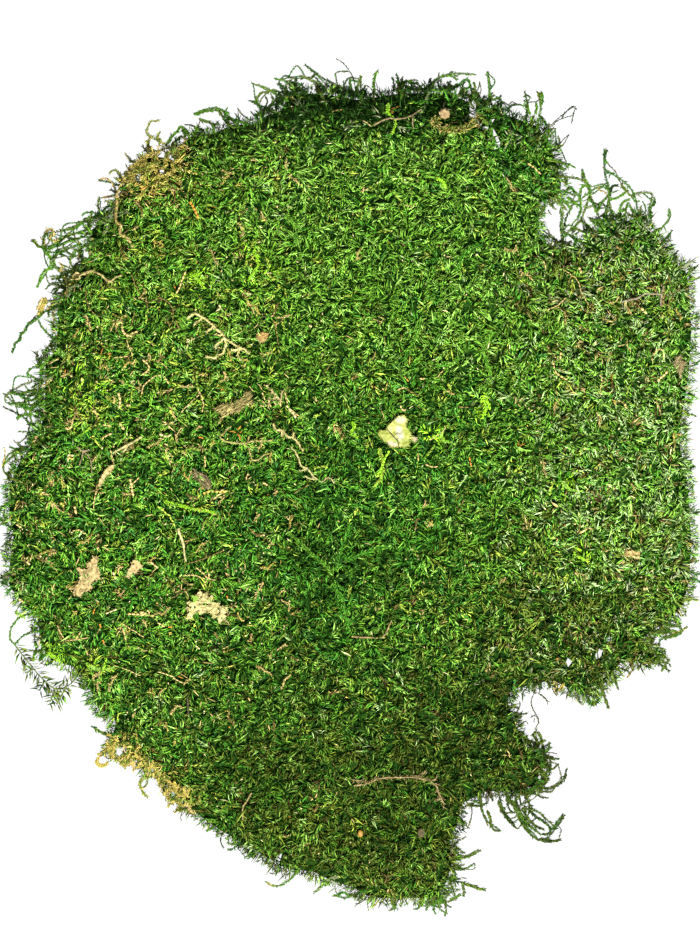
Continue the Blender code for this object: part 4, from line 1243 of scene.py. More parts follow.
# Strands of the frayed edge and of its dry golden parts that are finer than the CAD part's fronds
TRACED_ROUTES: dict[FrondStyle, tuple[Plan, ...]] = {
    FrondStyle.STOUT: traced("""
    116,205 108,206 101,212 97,215 90,220 84,222 76,226 70,229 60,230; 92,210 90,216 84,219; 43,247 46,251
    49,256 52,260 54,264 50,268 45,270 41,275 39,281 37,286; 46,248 55,246 63,243 70,240 78,238 84,236;
    50,259 58,252 66,249 74,246 80,244; 62,238 72,234 80,232 90,228; 30,239 34,241 38,246 43,246; 54,250
    60,254 66,256; 36,384 35,392 37,399 41,405; 46,299 42,306 40,315 33,321 27.5,324.5 24,331 20.5,334
    20,339 15,343 14,347 12,351.5; 8,392 18,394 26,392 35,390; 18,394 24,398 30,400 38,397; 17,402 24,407
    31,408 38,405 44,402; 17,421 18,417 24,415 32,414; 26,447 18,452 10,458 4,464; 40,376 42,368 46,362
    50,356; 35,640 36,648 34,655 33,661; 42,648 41,655 39,660; 92,727 98,731 104,734 109,737; 150,137
    148,143 150,148 153,150; 166,145 172,136 177,131 180,127 184,129 188,133 190,138; 170,147 176,140
    181,136; 194,115 199,113 205,111 212,110 220,110 228,112; 198,118 206,121 214,124 218,122; 190,134
    198,135 203,133; 196,128 202,130 206,136; 218,110 224,118 228,124 234,128; 298,76 304,76 310,79 316,82
    321,86 327,90; 330,82 336,85 341,87 346,90; 310,79 313,76 316,73; 251,100 256,102 259,106 262,109
    267,108 271,104 276,100; 254,115 262,113 268,109 273,104; 258,103 257,98 261,93 268,91 274,90 280,92;
    276,83 281,85 285,89 290,94; 358,98 357,90 358,84 360,79 361,76; 355,97 352,90 350,80 357,81; 360,96
    363,90 365,86; 223,112 230,119 240,122 250,125; 378,69 376,74 374,80 374,88 374,95; 402,76 402,82 401,88
    400,95; 402,83 406,81 412,83 417,83; 395,80 399,83 401,87; 428,90 430,85 434,81 440,77 447,75 453,76
    457,79; 447,80 449,84 454,86 459,84 464,80 468,80 470,85 466,88 461,87; 455,87 450,90 446,93; 461,88
    466,93 470,98 471,104 474,108; 473,81 475,86 474,91 471,95; 489,91 490,96 494,99 498,97; 474,100 478,104
    482,107 488,110 494,113; 490,118 492,124 491,131 492,138 494,144; 480,117 484,121 487,124; 482,100
    486,103 487,107; 536,90 539,93 540,97 541,104; 541,90 543,96 542,103; 536,101 537,107 536,113; 528,102
    528,108 530,113; 540,115 545,122 548,129 549,135; 545,133 547,140 549,148; 607,148 606,153 605,158
    607,162; 621,182 624,187 627,191 631,195 636,193; 627,191 622,195 616,198 610,200; 610,200 610,196
    611,190 613,186 618,185; 582,169 584,175 586,181 589,185 590,191 590,198 593,202 595,207 597,213;
    589,184 584,186 581,190 580,196 581,202 581,208; 571,199 576,203 581,207 580,213 578,218; 583,206
    588,207 593,206 597,209; 597,213 600,205 604,200 608,196; 600,217 606,213 610,208 609,200; 621,220
    620,212 622,204 627,200 630,199; 620,212 626,208 628,203; 566,190 571,188 576,193 580,196; 566,196
    572,200 578,206; 560,196 566,203 571,208; 562,204 563,212 562,220 563,230 562,240 560,246; 561,206
    562,216 561,226 562,236; 563,232 570,235 574,238 580,242; 572,232 576,229 582,231 588,232; 572,240
    568,246 570,252; 655,197 655,202 652,205 650,208 651,215 651,222 653,228; 536,731 534,735 537,741
    536,748; 538,731 541,738 543,747 545,752; 567,773 565,778 562,782 557,785 552,788 546,789 541,789;
    540,772 546,772 553,769; 536,778 538,782 537,788 534,793; 508,797 512,803 516,810 519,818 523,825
    527,831 532,836 538,840; 512,800 517,808 522,816 528,824 534,830 541,835; 515,806 519,814 524,820
    531,828; 538,840 545,840 552,842 560,841; 529,806 531,812 536,817 541,820 546,824 551,829 549,834
    543,835; 524,806 526,815 531,822 537,827 544,830; 550,832 555,827 559,821 563,816; 500,806 503,813
    508,818 512,823 515,827; 498,800 500,806 505,809; 487,810 490,818 491,825 494,830 499,832; 468,804
    475,806 481,806 487,803; 458,855 465,857 471,855 476,852 480,851; 462,882 464,890 464,896; 463,884
    470,886 477,889 485,890; 425,905 431,902 437,904 445,903; 449,901 455,898 460,896; 332,897 338,895
    343,893 350,896; 395,911 395,906 393,903; 588,699 591,703 595,703 598,701; 601,690 604,696 607,702
    608,708; 647,648 652,651 656,655 661,658; 667,664 664,668 662,671; 668,611 669,618 667,625 668,631;
    663,638 668,637 673,635 679,632
    """),
    FrondStyle.THIN: traced("""
    265,95 267,100 266,105 262,110; 270,92 272,97 272,103; 275,93 278,99 279,104; 290,80 293,86 295,90;
    228,106 226,110 229,114; 234,112 238,117; 237,107 241,113 246,117 250,121; 250,110 253,114; 305,65
    310,68 316,73 321,79 326,83 330,82; 274,78 280,79 290,77 298,76; 252,83 260,85 266,87 270,91; 447,76
    451,72 456,75 461,73 468,74 476,74; 417,89 421,85; 488,70 489,76 490,82 491,86 489,91; 495,95 499,98
    503,102 507,107 511,111; 523,97 526,95 530,97 527,101 524,100; 636,193 640,192; 641,191 646,195 650,198
    655,197; 631,196 635,200 640,201; 642,200 645,205 646,210; 647,209 644,214 642,217; 578,218 574,222
    571,228; 579,218 577,224 576,230; 670,208 671,215 668,220 664,225 661,230; 664,225 666,230; 668,240
    670,234 673,230; 680,262 686,260; 548,209 551,214; 545,226 549,232 548,238; 612,193 618,190; 541,763
    547,763 553,763 558,765; 657,659 663,662 669,664 671,667; 610,681 615,683 619,689; 275,877 278,871
    280,867; 272,871 277,866; 449,894 455,892 460,890; 316,893 321,888 326,882 330,880
    """),
    FrondStyle.HAIR: traced("""
    99,195 100,203 99,212 97,216; 116,214 108,213 102,213; 115,222 106,224 100,219; 54,288 56,286 60,287
    66,288; 60,311 70,308; 38,360 41,357 46,358; 27,378 29,384; 30,374 31,382; 34,376 36,382; 12,439 18,445
    24,449; 136,175 138,181 143,185; 184,124 192,125 196,128; 196,128 199,123 200,117; 480,80 479,86 476,92
    474,97; 480,82 481,88 480,94 477,98; 423,79 426,84 428,90; 503,101 508,104 512,102 518,104 524,105
    530,102 536,101 540,98; 551,128 556,128; 551,127 557,121 563,118 569,116 573,115; 561,119 566,112
    571,107 575,107 574,112 573,118 572,123; 559,145 563,140 568,135; 562,150 564,156 566,161 566,169;
    607,162 611,166 615,170 618,176 621,182; 615,171 611,174 610,177; 633,218 634,210; 540,694 545,698
    548,704; 530,718 535,716 534,722; 521,724 525,722 528,724; 519,716 523,711; 528,790 529,797 530,804;
    523,803 530,801 536,797 539,792; 558,825 561,830 560,837 559,841; 471,806 472,812 471,818; 463,869
    469,870 474,869 475,864; 461,878 467,879; 353,898 352,893; 383,906 390,904; 390,911 396,909 398,911;
    221,837 221,843 224,848; 597,692 596,698; 610,680 617,677; 617,674 622,674 626,671; 661,621 667,620
    674,621 679,624 682,629 682,634; 668,631 666,636 663,639 661,636 657,632; 672,610 678,613 683,615
    687,612; 552,688 554,692 557,696; 579,695 580,700; 100,747 105,749 110,745 114,741
    """),
    FrondStyle.GOLD: traced("""
    46,247 43,243 44,236 46,231 50,229 53,232 50,236 53,240 60,239 66,237 70,233; 70,270 75,274 74,279
    72,284 69,290 66,295; 160,130 158,136 160,143; 168,147 162,149 158,152 154,153 148,155 143,158 140,162
    138,167 132,169; 156,153 156,160 154,167 150,173 145,176; 166,152 166,160 164,168 160,175; 147,160
    150,166 155,170 160,178; 123,173 130,174 136,172 142,170 148,172; 133,169 140,168 146,165; 140,173
    144,178 148,184; 128,175 124,180 121,186 118,191; 170,150 173,155 176,158; 150,180 158,178 165,176
    171,174; 152,184 160,187 168,184; 109,738 113,742 118,744 124,743 130,742; 100,756 104,751 110,747
    115,744; 97,757 98,763 103,766 108,764; 112,757 117,753 122,757 124,762; 118,755 121,761 127,766;
    125,755 131,757 137,755; 137,765 141,760 145,763 147,768 145,775 140,781 141,788 146,785 147,779;
    141,791 145,796; 148,770 154,776 160,783 166,790; 167,792 168,798 171,801 176,799; 176,812 182,810
    190,809; 150,762 157,768 163,776 170,782
    """),
    FrondStyle.STALK: traced("""
    46,297 43,303 40,309 38,314; 43,297 40,303 37,309; 47,299 44,305 41,311; 117,192 117,205 116,215 117,222
    121,226 121,234 127,238 131,243 134,248
    """),
    FrondStyle.DRY: traced("""
    76,238 80,245 79,252 78,259 72,258 70,264 68,270; 88,248 86,255 84,262; 91,250 89,258; 58,262 62,266
    60,270 68,271 74,268 84,263 92,262; 66,272 66,280 68,286 66,293; 58,296 64,295 70,292; 49,308 52,303
    54,298; 54,298 60,304; 44,310 52,308 55,312; 52,310 54,318 53,325 55,332; 98,179 105,178 110,181 114,187
    117,193; 104,199 110,203 115,202; 100,198 108,196 115,195; 133,199 138,204 142,210 143,218; 132,232
    138,227; 553,148 558,147 563,145; 598,184 600,189 604,191 608,195; 483,814 486,820 488,826; 465,822
    468,827 471,820; 265,882 270,885 275,886; 370,908 375,905 378,901; 661,626 667,629 674,632 681,631
    687,628; 627,679 630,674 632,671; 59,624 61,632 64,639 80,638; 73,630 75,637
    """),
}

FRINGES: tuple[Fringe, ...] = (
    Fringe(FrondStyle.LEAFY, (0, 0), (900, 900), 150, (2.5, 6.5), 2.0),
    Fringe(FrondStyle.LEAFY, (-122, 102), (18, 26), 38, (6.0, 13.0), 4.0, 2.2, 30),
    Fringe(FrondStyle.LEAFY, (-142, 35), (16, 30), 24, (5.0, 11.0), 3.0, 2.0, 16),
    # Dark strands along the far rim, coloured as painted shade.
    Fringe(FrondStyle.SHADED, (0, 178), (95, 14), 64, (4.0, 9.0), 3.0, 1.4, 12),
    Fringe(FrondStyle.LEAFY, (98, 132), (26, 34), 24, (4.0, 9.0), 4.0, 2.0, 10),
    Fringe(FrondStyle.STOUT, (122, 118), (16, 12), 14, (4.0, 8.0), 3.0, 1.4),
    Fringe(FrondStyle.LEAFY, (140, 105), (22, 20), 12, (3.0, 7.0), 3.0, 1.6),
    Fringe(FrondStyle.LEAFY, (88, -135), (22, 26), 36, (5.0, 11.0), 3.0, 1.8, 14),
    Fringe(FrondStyle.LEAFY, (45, -178), (16, 16), 22, (4.0, 10.0), 3.0, 1.8),
    Fringe(FrondStyle.LEAFY, (138, -70), (18, 12), 20, (4.0, 9.0), 3.0, 1.8),
    Fringe(FrondStyle.HAIR, (0, 0), (900, 900), 36, (3.0, 7.0), 1.5, 1.8),
    Fringe(FrondStyle.GOLD, (-90, 142), (14, 15), 26, (5.0, 11.0), 8.0, 3.0),
    Fringe(FrondStyle.GOLD, (-102, -122), (14, 10), 20, (4.0, 9.0), 6.0, 3.0),
    Fringe(FrondStyle.GOLD, (-82, -137), (14, 10), 26, (4.0, 9.0), 6.0, 3.0),
)


@dataclass
class Strands:
    """Leafy strands at the edge or on the mat, along plan routes: one piece of stems and one of leaves."""

    DIM: ClassVar[Zone] = Zone((85, -115), (75, 75), mix("OLIVE 0.9, STEM 0.5, DARK 0.4"), -0.2)

    ground: Ground
    material: bpy.types.Material
    level: float = 5.5
    lowest: float = 2.4
    droop: float = 0.16
    joint: float = 0.8
    stems: list[Blades] = field(default_factory=list)
    leaves: list[Blades] = field(default_factory=list)

    def _heights(self, line: Rows, resting: bool, lift: float) -> Rows:
        """Height of a strand's middle line: on the mat, or drooping where it leaves it.

        Args:
            line: rows of x and y.
            resting: True for a strand that lies on the mat all along.
            lift: how much a strand that leaves the mat is raised.

        Returns:
            One height for each row.
        """
        on_top = self.ground.top(line) + 0.45 + 0.5 * wave(line, 3.0, 5.0)
        if resting:
            return on_top
        inside = self.ground.rim_distance(line)
        free = self.level + self.droop * np.minimum(inside, 0.0) + 0.9 * wave(line, 26.0, 40.0 / 26.0)
        heights = np.where(inside > 0.0, np.maximum(free, on_top), free)
        padded = np.pad(heights, 8, mode="edge")
        return np.maximum(np.convolve(padded, np.ones(17) / 17, mode="valid") + lift, self.lowest)

    def add(self, route: Plan, style: FrondStyle, rng: Random, lift: float = 0.0) -> Rows:
        """Adds one strand.

        Args:
            route: its plan route, from the mat outwards.
            style: how it is leafed.
            rng: source of the random draws.
            lift: height above the usual one.

        Returns:
            Points along its middle line.
        """
        form = FROND_FORMS[style]
        line = smooth_route(route, 0.25)
        points = np.column_stack([line, self._heights(line, form.resting, lift + form.lift)])
        ahead = unit(np.gradient(points, axis=0))
        run = run_along(points)
        total = run[-1]
        dim = self.DIM.share(line[:1])[0]
        columns = np.array([name.value for name in (*form.shades, *self.DIM.mix)])
        weights = np.array([*form.shades.values(), *(part * dim for part in self.DIM.mix.values())])
        main = rng.choice(columns, p=weights / weights.sum())
        strand_tone = form.tone + rng.normal(0.0, 0.06) + self.DIM.tone * dim

        def blades(stations: Rows, size: Rows, wide: Rows, hand: Rows, lean: float) -> Blades:
            """Leaves or shoots at the stations, to the side that hand says.

            Args:
                stations: distances run along the strand.
                size: length of each.
                wide: width of each.
                hand: 1 for the right side, -1 for the left.
                lean: mean angle off the strand, in degrees.

            Returns:
                The blades.
            """
            count = len(stations)
            place = at_stations(stations, run, points)
            way = unit(at_stations(stations, run, ahead))
            side = unit(np.cross(way, UP)) * hand[:, None]
            angle = np.radians(lean + rng.normal(0.0, 9.0, count) * (lean > 0.0))[:, None]
            rise = (rng.normal(0.1, 0.28, count) * (lean > 0.0))[:, None]
            mixed = rng.choice(columns, count, p=weights / weights.sum())
            return Blades(
                root=place, along=unit(way * np.cos(angle) + side * np.sin(angle) + UP * rise),
                sweep=way * (size * rng.uniform(0.1, 0.35, count) * (lean > 0.0))[:, None], length=size,
                width=wide * rng.uniform(0.8, 1.2, count), spin=rng.uniform(0.0, ROUND, count),
                shade=np.where(rng.random(count) < 0.35, mixed, main),
                tone=strand_tone + rng.normal(0.0, 0.13, count),
            )

        joints = np.arange(0.0, total, self.joint)
        reach = np.minimum(self.joint * 2.6, total - joints + 0.3)
        wide = form.stem[0] + (form.stem[1] - form.stem[0]) * joints / total
        self.stems.append(blades(joints, reach, wide, np.ones(len(joints)), 0.0))
        for hand in (-1.0, 1.0):
            stations = np.arange(form.leaf_step * (0.6 + 0.2 * hand), total, form.leaf_step)
            stations = np.clip(stations + rng.normal(0.0, form.leaf_step * 0.2, len(stations)), 0.0, total)
            share = stations / total
            size = form.leaf[0] + (form.leaf[1] - form.leaf[0]) * share
            size = size * rng.uniform(0.7, 1.25, len(stations))
            wide = np.full(len(stations), form.leaf_width)
            self.leaves.append(blades(stations, size, wide, np.full(len(stations), hand), form.lean))
        if form.branch:
            stations = np.arange(form.branch_step * 0.5, total * 0.92, form.branch_step)
            hand = np.where(np.arange(len(stations)) % 2, -1.0, 1.0)
            size = form.branch * (1.1 - 0.6 * stations / total) * rng.uniform(0.5, 1.2, len(stations))
            wide = np.full(len(stations), form.stem[1] * 1.3)
            self.stems.append(blades(stations, size, wide, hand, 46.0))
        return points

    def pieces(self, name: str) -> list[bpy.types.Object]:
        """Makes the strands as one piece of stems and one of leaves.

        Args:
            name: what the strands are.
        """
        made = []
        for part, sets, pattern, span in (
            ("stems", self.stems, SHORT_BLADE, (0.25, 0.6)), ("leaves", self.leaves, LEAF, (0.0, 1.0)),
        ):
            full = f"{name}_{part}"
            blades = Blades.joined(sets)
            mesh = blades.where(clear_of_gaps(blades)).mesh(full, pattern, span=span)
            made.append(new_object(full, mesh, self.material))
        return made


@dataclass
class EdgeFronds:
    """The frayed strands that leave the edge of the mat, and the thin shoots that join them."""

    ground: Ground
    strands: Strands

    def _fringe(self, fringe: Fringe, rng: Random) -> list[Plan]:
        """Routes of one stretch of loose strands: each leaves the edge and wanders.

        Args:
            fringe: where they are and how long.
            rng: source of the random draws.

        Returns:
            Their plan routes.
        """
        places, out = self.ground.rim_walk(0.5)
        local = (places - fringe.centre) / fringe.radii
        rows = np.flatnonzero((local**2).sum(1) < 1.0)
        routes = []
        for row in rng.choice(rows, fringe.count):
            place = places[row] - out[row] * rng.uniform(0.3, 1.0) * fringe.inset
            heading = math.atan2(out[row, 1], out[row, 0]) + rng.normal(0.0, 0.6)
            length = rng.uniform(*fringe.length)
            steps = max(int(length / 1.6), 2)
            bend = rng.normal(0.0, fringe.wander * 0.16)
            route = [tuple(place)]
            for _ in range(steps):
                heading += bend + rng.normal(0.0, fringe.wander * 0.13)
                place = place + np.array([math.cos(heading), math.sin(heading)]) * length / steps
                route.append(tuple(place))
            routes.append(tuple(route))
        return routes

    @staticmethod
    def _links(fringe: Fringe, places: Rows, rng: Random) -> list[Plan]:
        """Routes of the thin shoots that join strands of one stretch of the edge.

        Args:
            fringe: where they are and how many.
            places: points along all the strands.
            rng: source of the random draws.

        Returns:
            Their plan routes.
        """
        near = places[(((places[:, :2] - fringe.centre) / fringe.radii) ** 2).sum(1) < 1.2][:, :2]
        routes = []
        while len(near) > 1 and len(routes) < fringe.links:
            start, end = near[rng.integers(0, len(near), 2)]
            gap = end - start
            if 4.0 < np.linalg.norm(gap) < 13.0:
                bow = np.array([-gap[1], gap[0]]) * rng.normal(0.0, 0.25)
                routes.append((tuple(start), tuple((start + end) / 2 + bow), tuple(end)))
        return routes

    def build(self) -> list[bpy.types.Object]:
        """Makes the edge strands."""
        rng = np.random.default_rng(SEED + 1)
        listed = [
            (FrondStyle.LEAFY, FROND_ROUTES), (FrondStyle.PINNATE, PINNATE_ROUTES),
            (FrondStyle.HAIR, HAIR_ROUTES), (FrondStyle.GOLD, GOLD_ROUTES), *TRACED_ROUTES.items(),
        ]
        lines = [self.strands.add(route, style, rng) for style, routes in listed for route in routes]
        places = np.vstack(lines)
        places = places[self.ground.rim_distance(places) < 0.0]
        for fringe in FRINGES:
            for route in self._fringe(fringe, rng):
                self.strands.add(route, fringe.style, rng, rng.normal(0.0, 0.6))
            for route in self._links(fringe, places, rng):
                self.strands.add(route, FrondStyle.THIN, rng, rng.normal(0.0, 0.9))
        return self.strands.pieces("edge_fronds")


@dataclass
class RestingShoots:
    """Long green shoots and young yellow-green ones that lie on the mat."""

    strands: Strands

    def build(self) -> list[bpy.types.Object]:
        """Makes the shoots."""
        rng = np.random.default_rng(SEED + 4)
        for style, routes in ((FrondStyle.RESTING, RESTING_ROUTES), (FrondStyle.LIME_RESTING, LIME_ROUTES)):
            for route in routes:
                self.strands.add(route, style, rng)
        return self.strands.pieces("resting_shoots")


@dataclass
class MossBed:
    """The mat under the living shoots: old brown moss and litter matted together, flat where it was cut, its
    dark colour partly painted shade of the gaps between the shoots.
    """

    ground: Ground
    step: float = 2.8
    inset: float = 2.4
    depth: float = 3.7
    felt: int = 1500
    gap_room: float = 0.9
    lowest: float = 1.2
    underside: float = 0.5

    def _sheet(self) -> bpy.types.Mesh:
        """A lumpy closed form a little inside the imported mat."""
        low, high = self.ground.outline.min(0), self.ground.outline.max(0)
        counts = np.ceil((high - low) / self.step).astype(int)
        work = bmesh.new()
        bmesh.ops.create_grid(work, x_segments=int(counts[0]), y_segments=int(counts[1]), size=0.5)
        middle = (low + high) / 2
        span = counts * self.step
        for vert in work.verts:
            vert.co.x = (vert.co.x * span[0] + middle[0]) * MM
            vert.co.y = (vert.co.y * span[1] + middle[1]) * MM
        centres = np.array([face.calc_center_median().xy for face in work.faces]) / MM
        keep = self.ground.rim_distance(centres) > self.inset
        for x, y, radius in GAPS:
            keep &= np.hypot(centres[:, 0] - x, centres[:, 1] - y) > radius + self.gap_room
        cut_faces(work, ~keep)
        edge = [vert for vert in work.verts if vert.is_boundary]
        inside, nearest = distance_inside(self.ground.outline, np.array([vert.co.xy for vert in edge]) / MM)
        for vert, deep, (x, y) in zip(edge, inside, nearest):
            if 0.5 < deep < self.inset + self.step:
                rim = Vector((x * MM, y * MM))
                vert.co.xy = rim + (vert.co.xy - rim) * (0.8 * self.inset / deep)
        for x, y, radius in GAPS:
            wide = (radius + self.gap_room) * MM
            for vert in (v for v in work.verts if v.is_boundary):
                away = Vector((vert.co.x - x * MM, vert.co.y - y * MM))
                if 0.0 < away.length < wide + 0.5 * self.step * MM:
                    vert.co.xy = Vector((x * MM, y * MM)) + away.normalized() * wide
        places = np.array([vert.co.xy for vert in work.verts]) / MM
        lumps = 1.3 * wave(places, 5.0, 11.0)
        heights = np.maximum(self.ground.top(places) - self.depth + lumps, self.lowest)
        for vert, height in zip(work.verts, heights):
            vert.co.z = height * MM
        made = bmesh.ops.extrude_face_region(work, geom=list(work.faces))["geom"]
        for vert in (part for part in made if isinstance(part, bmesh.types.BMVert)):
            vert.co.z = self.underside * MM
        bmesh.ops.recalc_face_normals(work, faces=work.faces)
        return to_mesh(work, "moss_bed")

    def _felt(self, rng: Random) -> Blades:
        """Brown fibres matted flat on the cut underside.

        Args:
            rng: source of the random draws.

        Returns:
            The fibres, as blades.
        """
        plan = self.ground.scattered(self.felt, 5.0, rng)
        count = len(plan)
        turn = rng.uniform(0.0, 2.0 * math.pi, count)
        across = np.column_stack([-np.sin(turn), np.cos(turn), np.zeros(count)])
        return Blades(
            root=np.column_stack([plan, rng.uniform(0.35, 0.8, count)]),
            along=np.column_stack([np.cos(turn), np.sin(turn), np.zeros(count)]),
            sweep=across * rng.normal(0, 2.0, count)[:, None], length=rng.uniform(6.0, 15.0, count),
            width=rng.uniform(0.6, 1.0, count), spin=rng.uniform(0.0, ROUND, count),
            shade=picked("BROWN 0.6, STEM 0.25, TAN 0.15", count, rng), tone=rng.uniform(0.2, 0.6, count),
        )

    def build(self, leaf: bpy.types.Material) -> list[bpy.types.Object]:
        """Makes the bed and the felt under it.

        Args:
            leaf: material of the fibres.
        """
        # Dark greens: partly the old moss's own colour, partly painted shade of the gaps between shoots.
        finish = PatternFinish("matted old moss in painted shade", "081605 122C0A 263C14", 1.3, 1.0, 1.0, glint=0.0)
        felt = self._felt(np.random.default_rng(SEED + 2))
        mesh = felt.where(clear_of_gaps(felt)).mesh("moss_felt", LONG_BLADE)
        return [new_object("moss_bed", self._sheet(), finish.material()), new_object("moss_felt", mesh, leaf)]


class Relief:
    """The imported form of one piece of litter, which the finer piece that stands for it follows."""

    def __init__(self, node: bpy.types.Object) -> None:
        """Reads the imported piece.

        Args:
            node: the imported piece.
        """
        work = bmesh.new()
        work.from_mesh(node.data)
        self.tree = BVHTree.FromBMesh(work)
        work.free()
        low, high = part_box(node.name)
        self.middle = (low[2] + high[2]) / 2

    def heights(self, places: Rows, upper: bool) -> Rows:
        """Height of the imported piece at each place.

        Args:
            places: rows of x and y.
            upper: True for its top, False for its middle line.

        Returns:
            One height for each row.
        """
        found = []
        for x, y in places:
            top = self.tree.ray_cast(Vector((x * MM, y * MM, 1.0)), Vector((0.0, 0.0, -1.0)))[0]
            base = self.tree.ray_cast(Vector((x * MM, y * MM, -1.0)), Vector((0.0, 0.0, 1.0)))[0]
            if top is None or base is None:
                top = base = self.tree.find_nearest(Vector((x * MM, y * MM, self.middle)))[0]
            found.append(top.z if upper else (top.z + base.z) / 2)
        return np.array(found) / MM


@dataclass(frozen=True)
class LeafScrap:
    """A dry scrap of leaf: thin, crumpled, torn at the rim and here and there eaten through."""

    name: str
    finish: PatternFinish
    outline: Plan
    cell: float = 0.45
    jag: float = 0.45
    crumple: float = 0.45
    worn: float = 9.0  # noise above which it is eaten through
    thickness: float = 0.25
    tooth: float = 1.3  # length of the torn points round the rim
    strips: int = 0
    strip_length: Pair = (1.0, 3.4)
    strip_turn: float = 0.0  # degrees
    strip_spread: float = 25.0  # degrees
    tear_step: float = 0.8

    def _rim(self) -> Rows:
        """The outline with small tears."""
        rim = walk_round(np.array(self.outline, float), self.tear_step)
        along = unit(np.roll(rim, -1, 0) - np.roll(rim, 1, 0))
        torn = self.jag * (wave(rim, 1.3, 2.0) * 1.2 + wave(rim, 0.6, 8.0) * 0.8)
        return rim + np.column_stack([along[:, 1], -along[:, 0]]) * torn[:, None]

    def _strips(self, rim: Rows, relief: Relief) -> Blades:
        """Torn points round the rim, and strips and veins that have come loose on the scrap.

        Args:
            rim: its torn outline.
            relief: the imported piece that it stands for.
        """
        rng = np.random.default_rng(SEED + len(rim))
        around = unit(np.roll(rim, -1, 0) - np.roll(rim, 1, 0))
        out = np.column_stack([around[:, 1], -around[:, 0]])
        out *= np.where(distance_inside(rim, rim + out * 0.2)[0] > 0.0, -1.0, 1.0)[:, None]
        out = unit(out + around * rng.normal(0.0, 0.7, len(rim))[:, None])
        tries = rng.uniform(rim.min(0), rim.max(0), (self.strips * 6 + 1, 2))
        tries = tries[distance_inside(rim, tries)[0] > 0.1][: self.strips]
        turn = rng.normal(self.strip_turn, self.strip_spread, len(tries))
        turn = turn + rng.choice([0.0, 180.0], len(tries))
        flat = np.vstack([out, np.column_stack([np.cos(np.radians(turn)), np.sin(np.radians(turn))])])
        long = np.concatenate(
            [self.tooth * rng.uniform(0.6, 1.7, len(rim)), rng.uniform(*self.strip_length, len(tries))]
        )
        centres = np.vstack([rim, tries])
        count = len(centres)
        along = unit(np.column_stack([flat, rng.normal(0.0, 0.14, count)]))
        loose = np.where(np.arange(count) < len(rim), 0.0, rng.uniform(0.0, 0.5, count))
        height = relief.heights(centres, True) + loose
        across = np.column_stack([along[:, 1], -along[:, 0], np.zeros(count)])
        return Blades(
            root=np.column_stack([centres, height]) - along * (long * 0.45)[:, None], along=along,
            sweep=across * rng.normal(0.0, 0.4, count)[:, None], length=long,
            width=rng.uniform(0.3, 0.62, count), spin=rng.uniform(0.0, ROUND, count), shade=np.zeros(count),
            tone=np.zeros(count),
        )

    def build(self, relief: Relief) -> bpy.types.Object:
        """Makes the scrap.

        Args:
            relief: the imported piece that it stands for.
        """
        rim = self._rim()
        low, high = rim.min(0) - self.cell, rim.max(0) + self.cell
        counts = np.ceil((high - low) / self.cell).astype(int)
        work = bmesh.new()
        bmesh.ops.create_grid(work, x_segments=int(counts[0]), y_segments=int(counts[1]), size=0.5)
        places = np.array([vert.co.xy for vert in work.verts]) * counts * self.cell + (low + high) / 2
        for vert, (x, y) in zip(work.verts, places):
            vert.co = Vector((x, y, 0.0))
        centres = np.array([face.calc_center_median().xy for face in work.faces])
        inside = distance_inside(rim, centres)[0]
        gone = (inside < 0.0) | ((wave(centres, 1.6, 30.0) > self.worn) & (inside > 0.7))
        cut_faces(work, gone)
        places = np.array([vert.co.xy for vert in work.verts])
        inside, nearest = distance_inside(rim, places)
        at_rim = np.array([vert.is_boundary for vert in work.verts]) & (np.abs(inside) < self.cell * 1.3)
        places[at_rim] = nearest[at_rim]
        folds = wave(places, 3.6, 3.0) + 0.5 * wave(places, 1.5, 6.0)
        heights = relief.heights(places, True) + self.crumple * folds
        for vert, (x, y), z in zip(work.verts, places, heights):
            vert.co = Vector((x, y, z)) * MM
        bmesh.ops.solidify(work, geom=work.faces, thickness=self.thickness * MM)
        bmesh.ops.recalc_face_normals(work, faces=work.faces)
        work.from_mesh(self._strips(rim, relief).mesh(self.name + "_strips", SHORT_BLADE, mapped=False))
        return new_object(self.name + "_dry", to_mesh(work, self.name), self.finish.material())


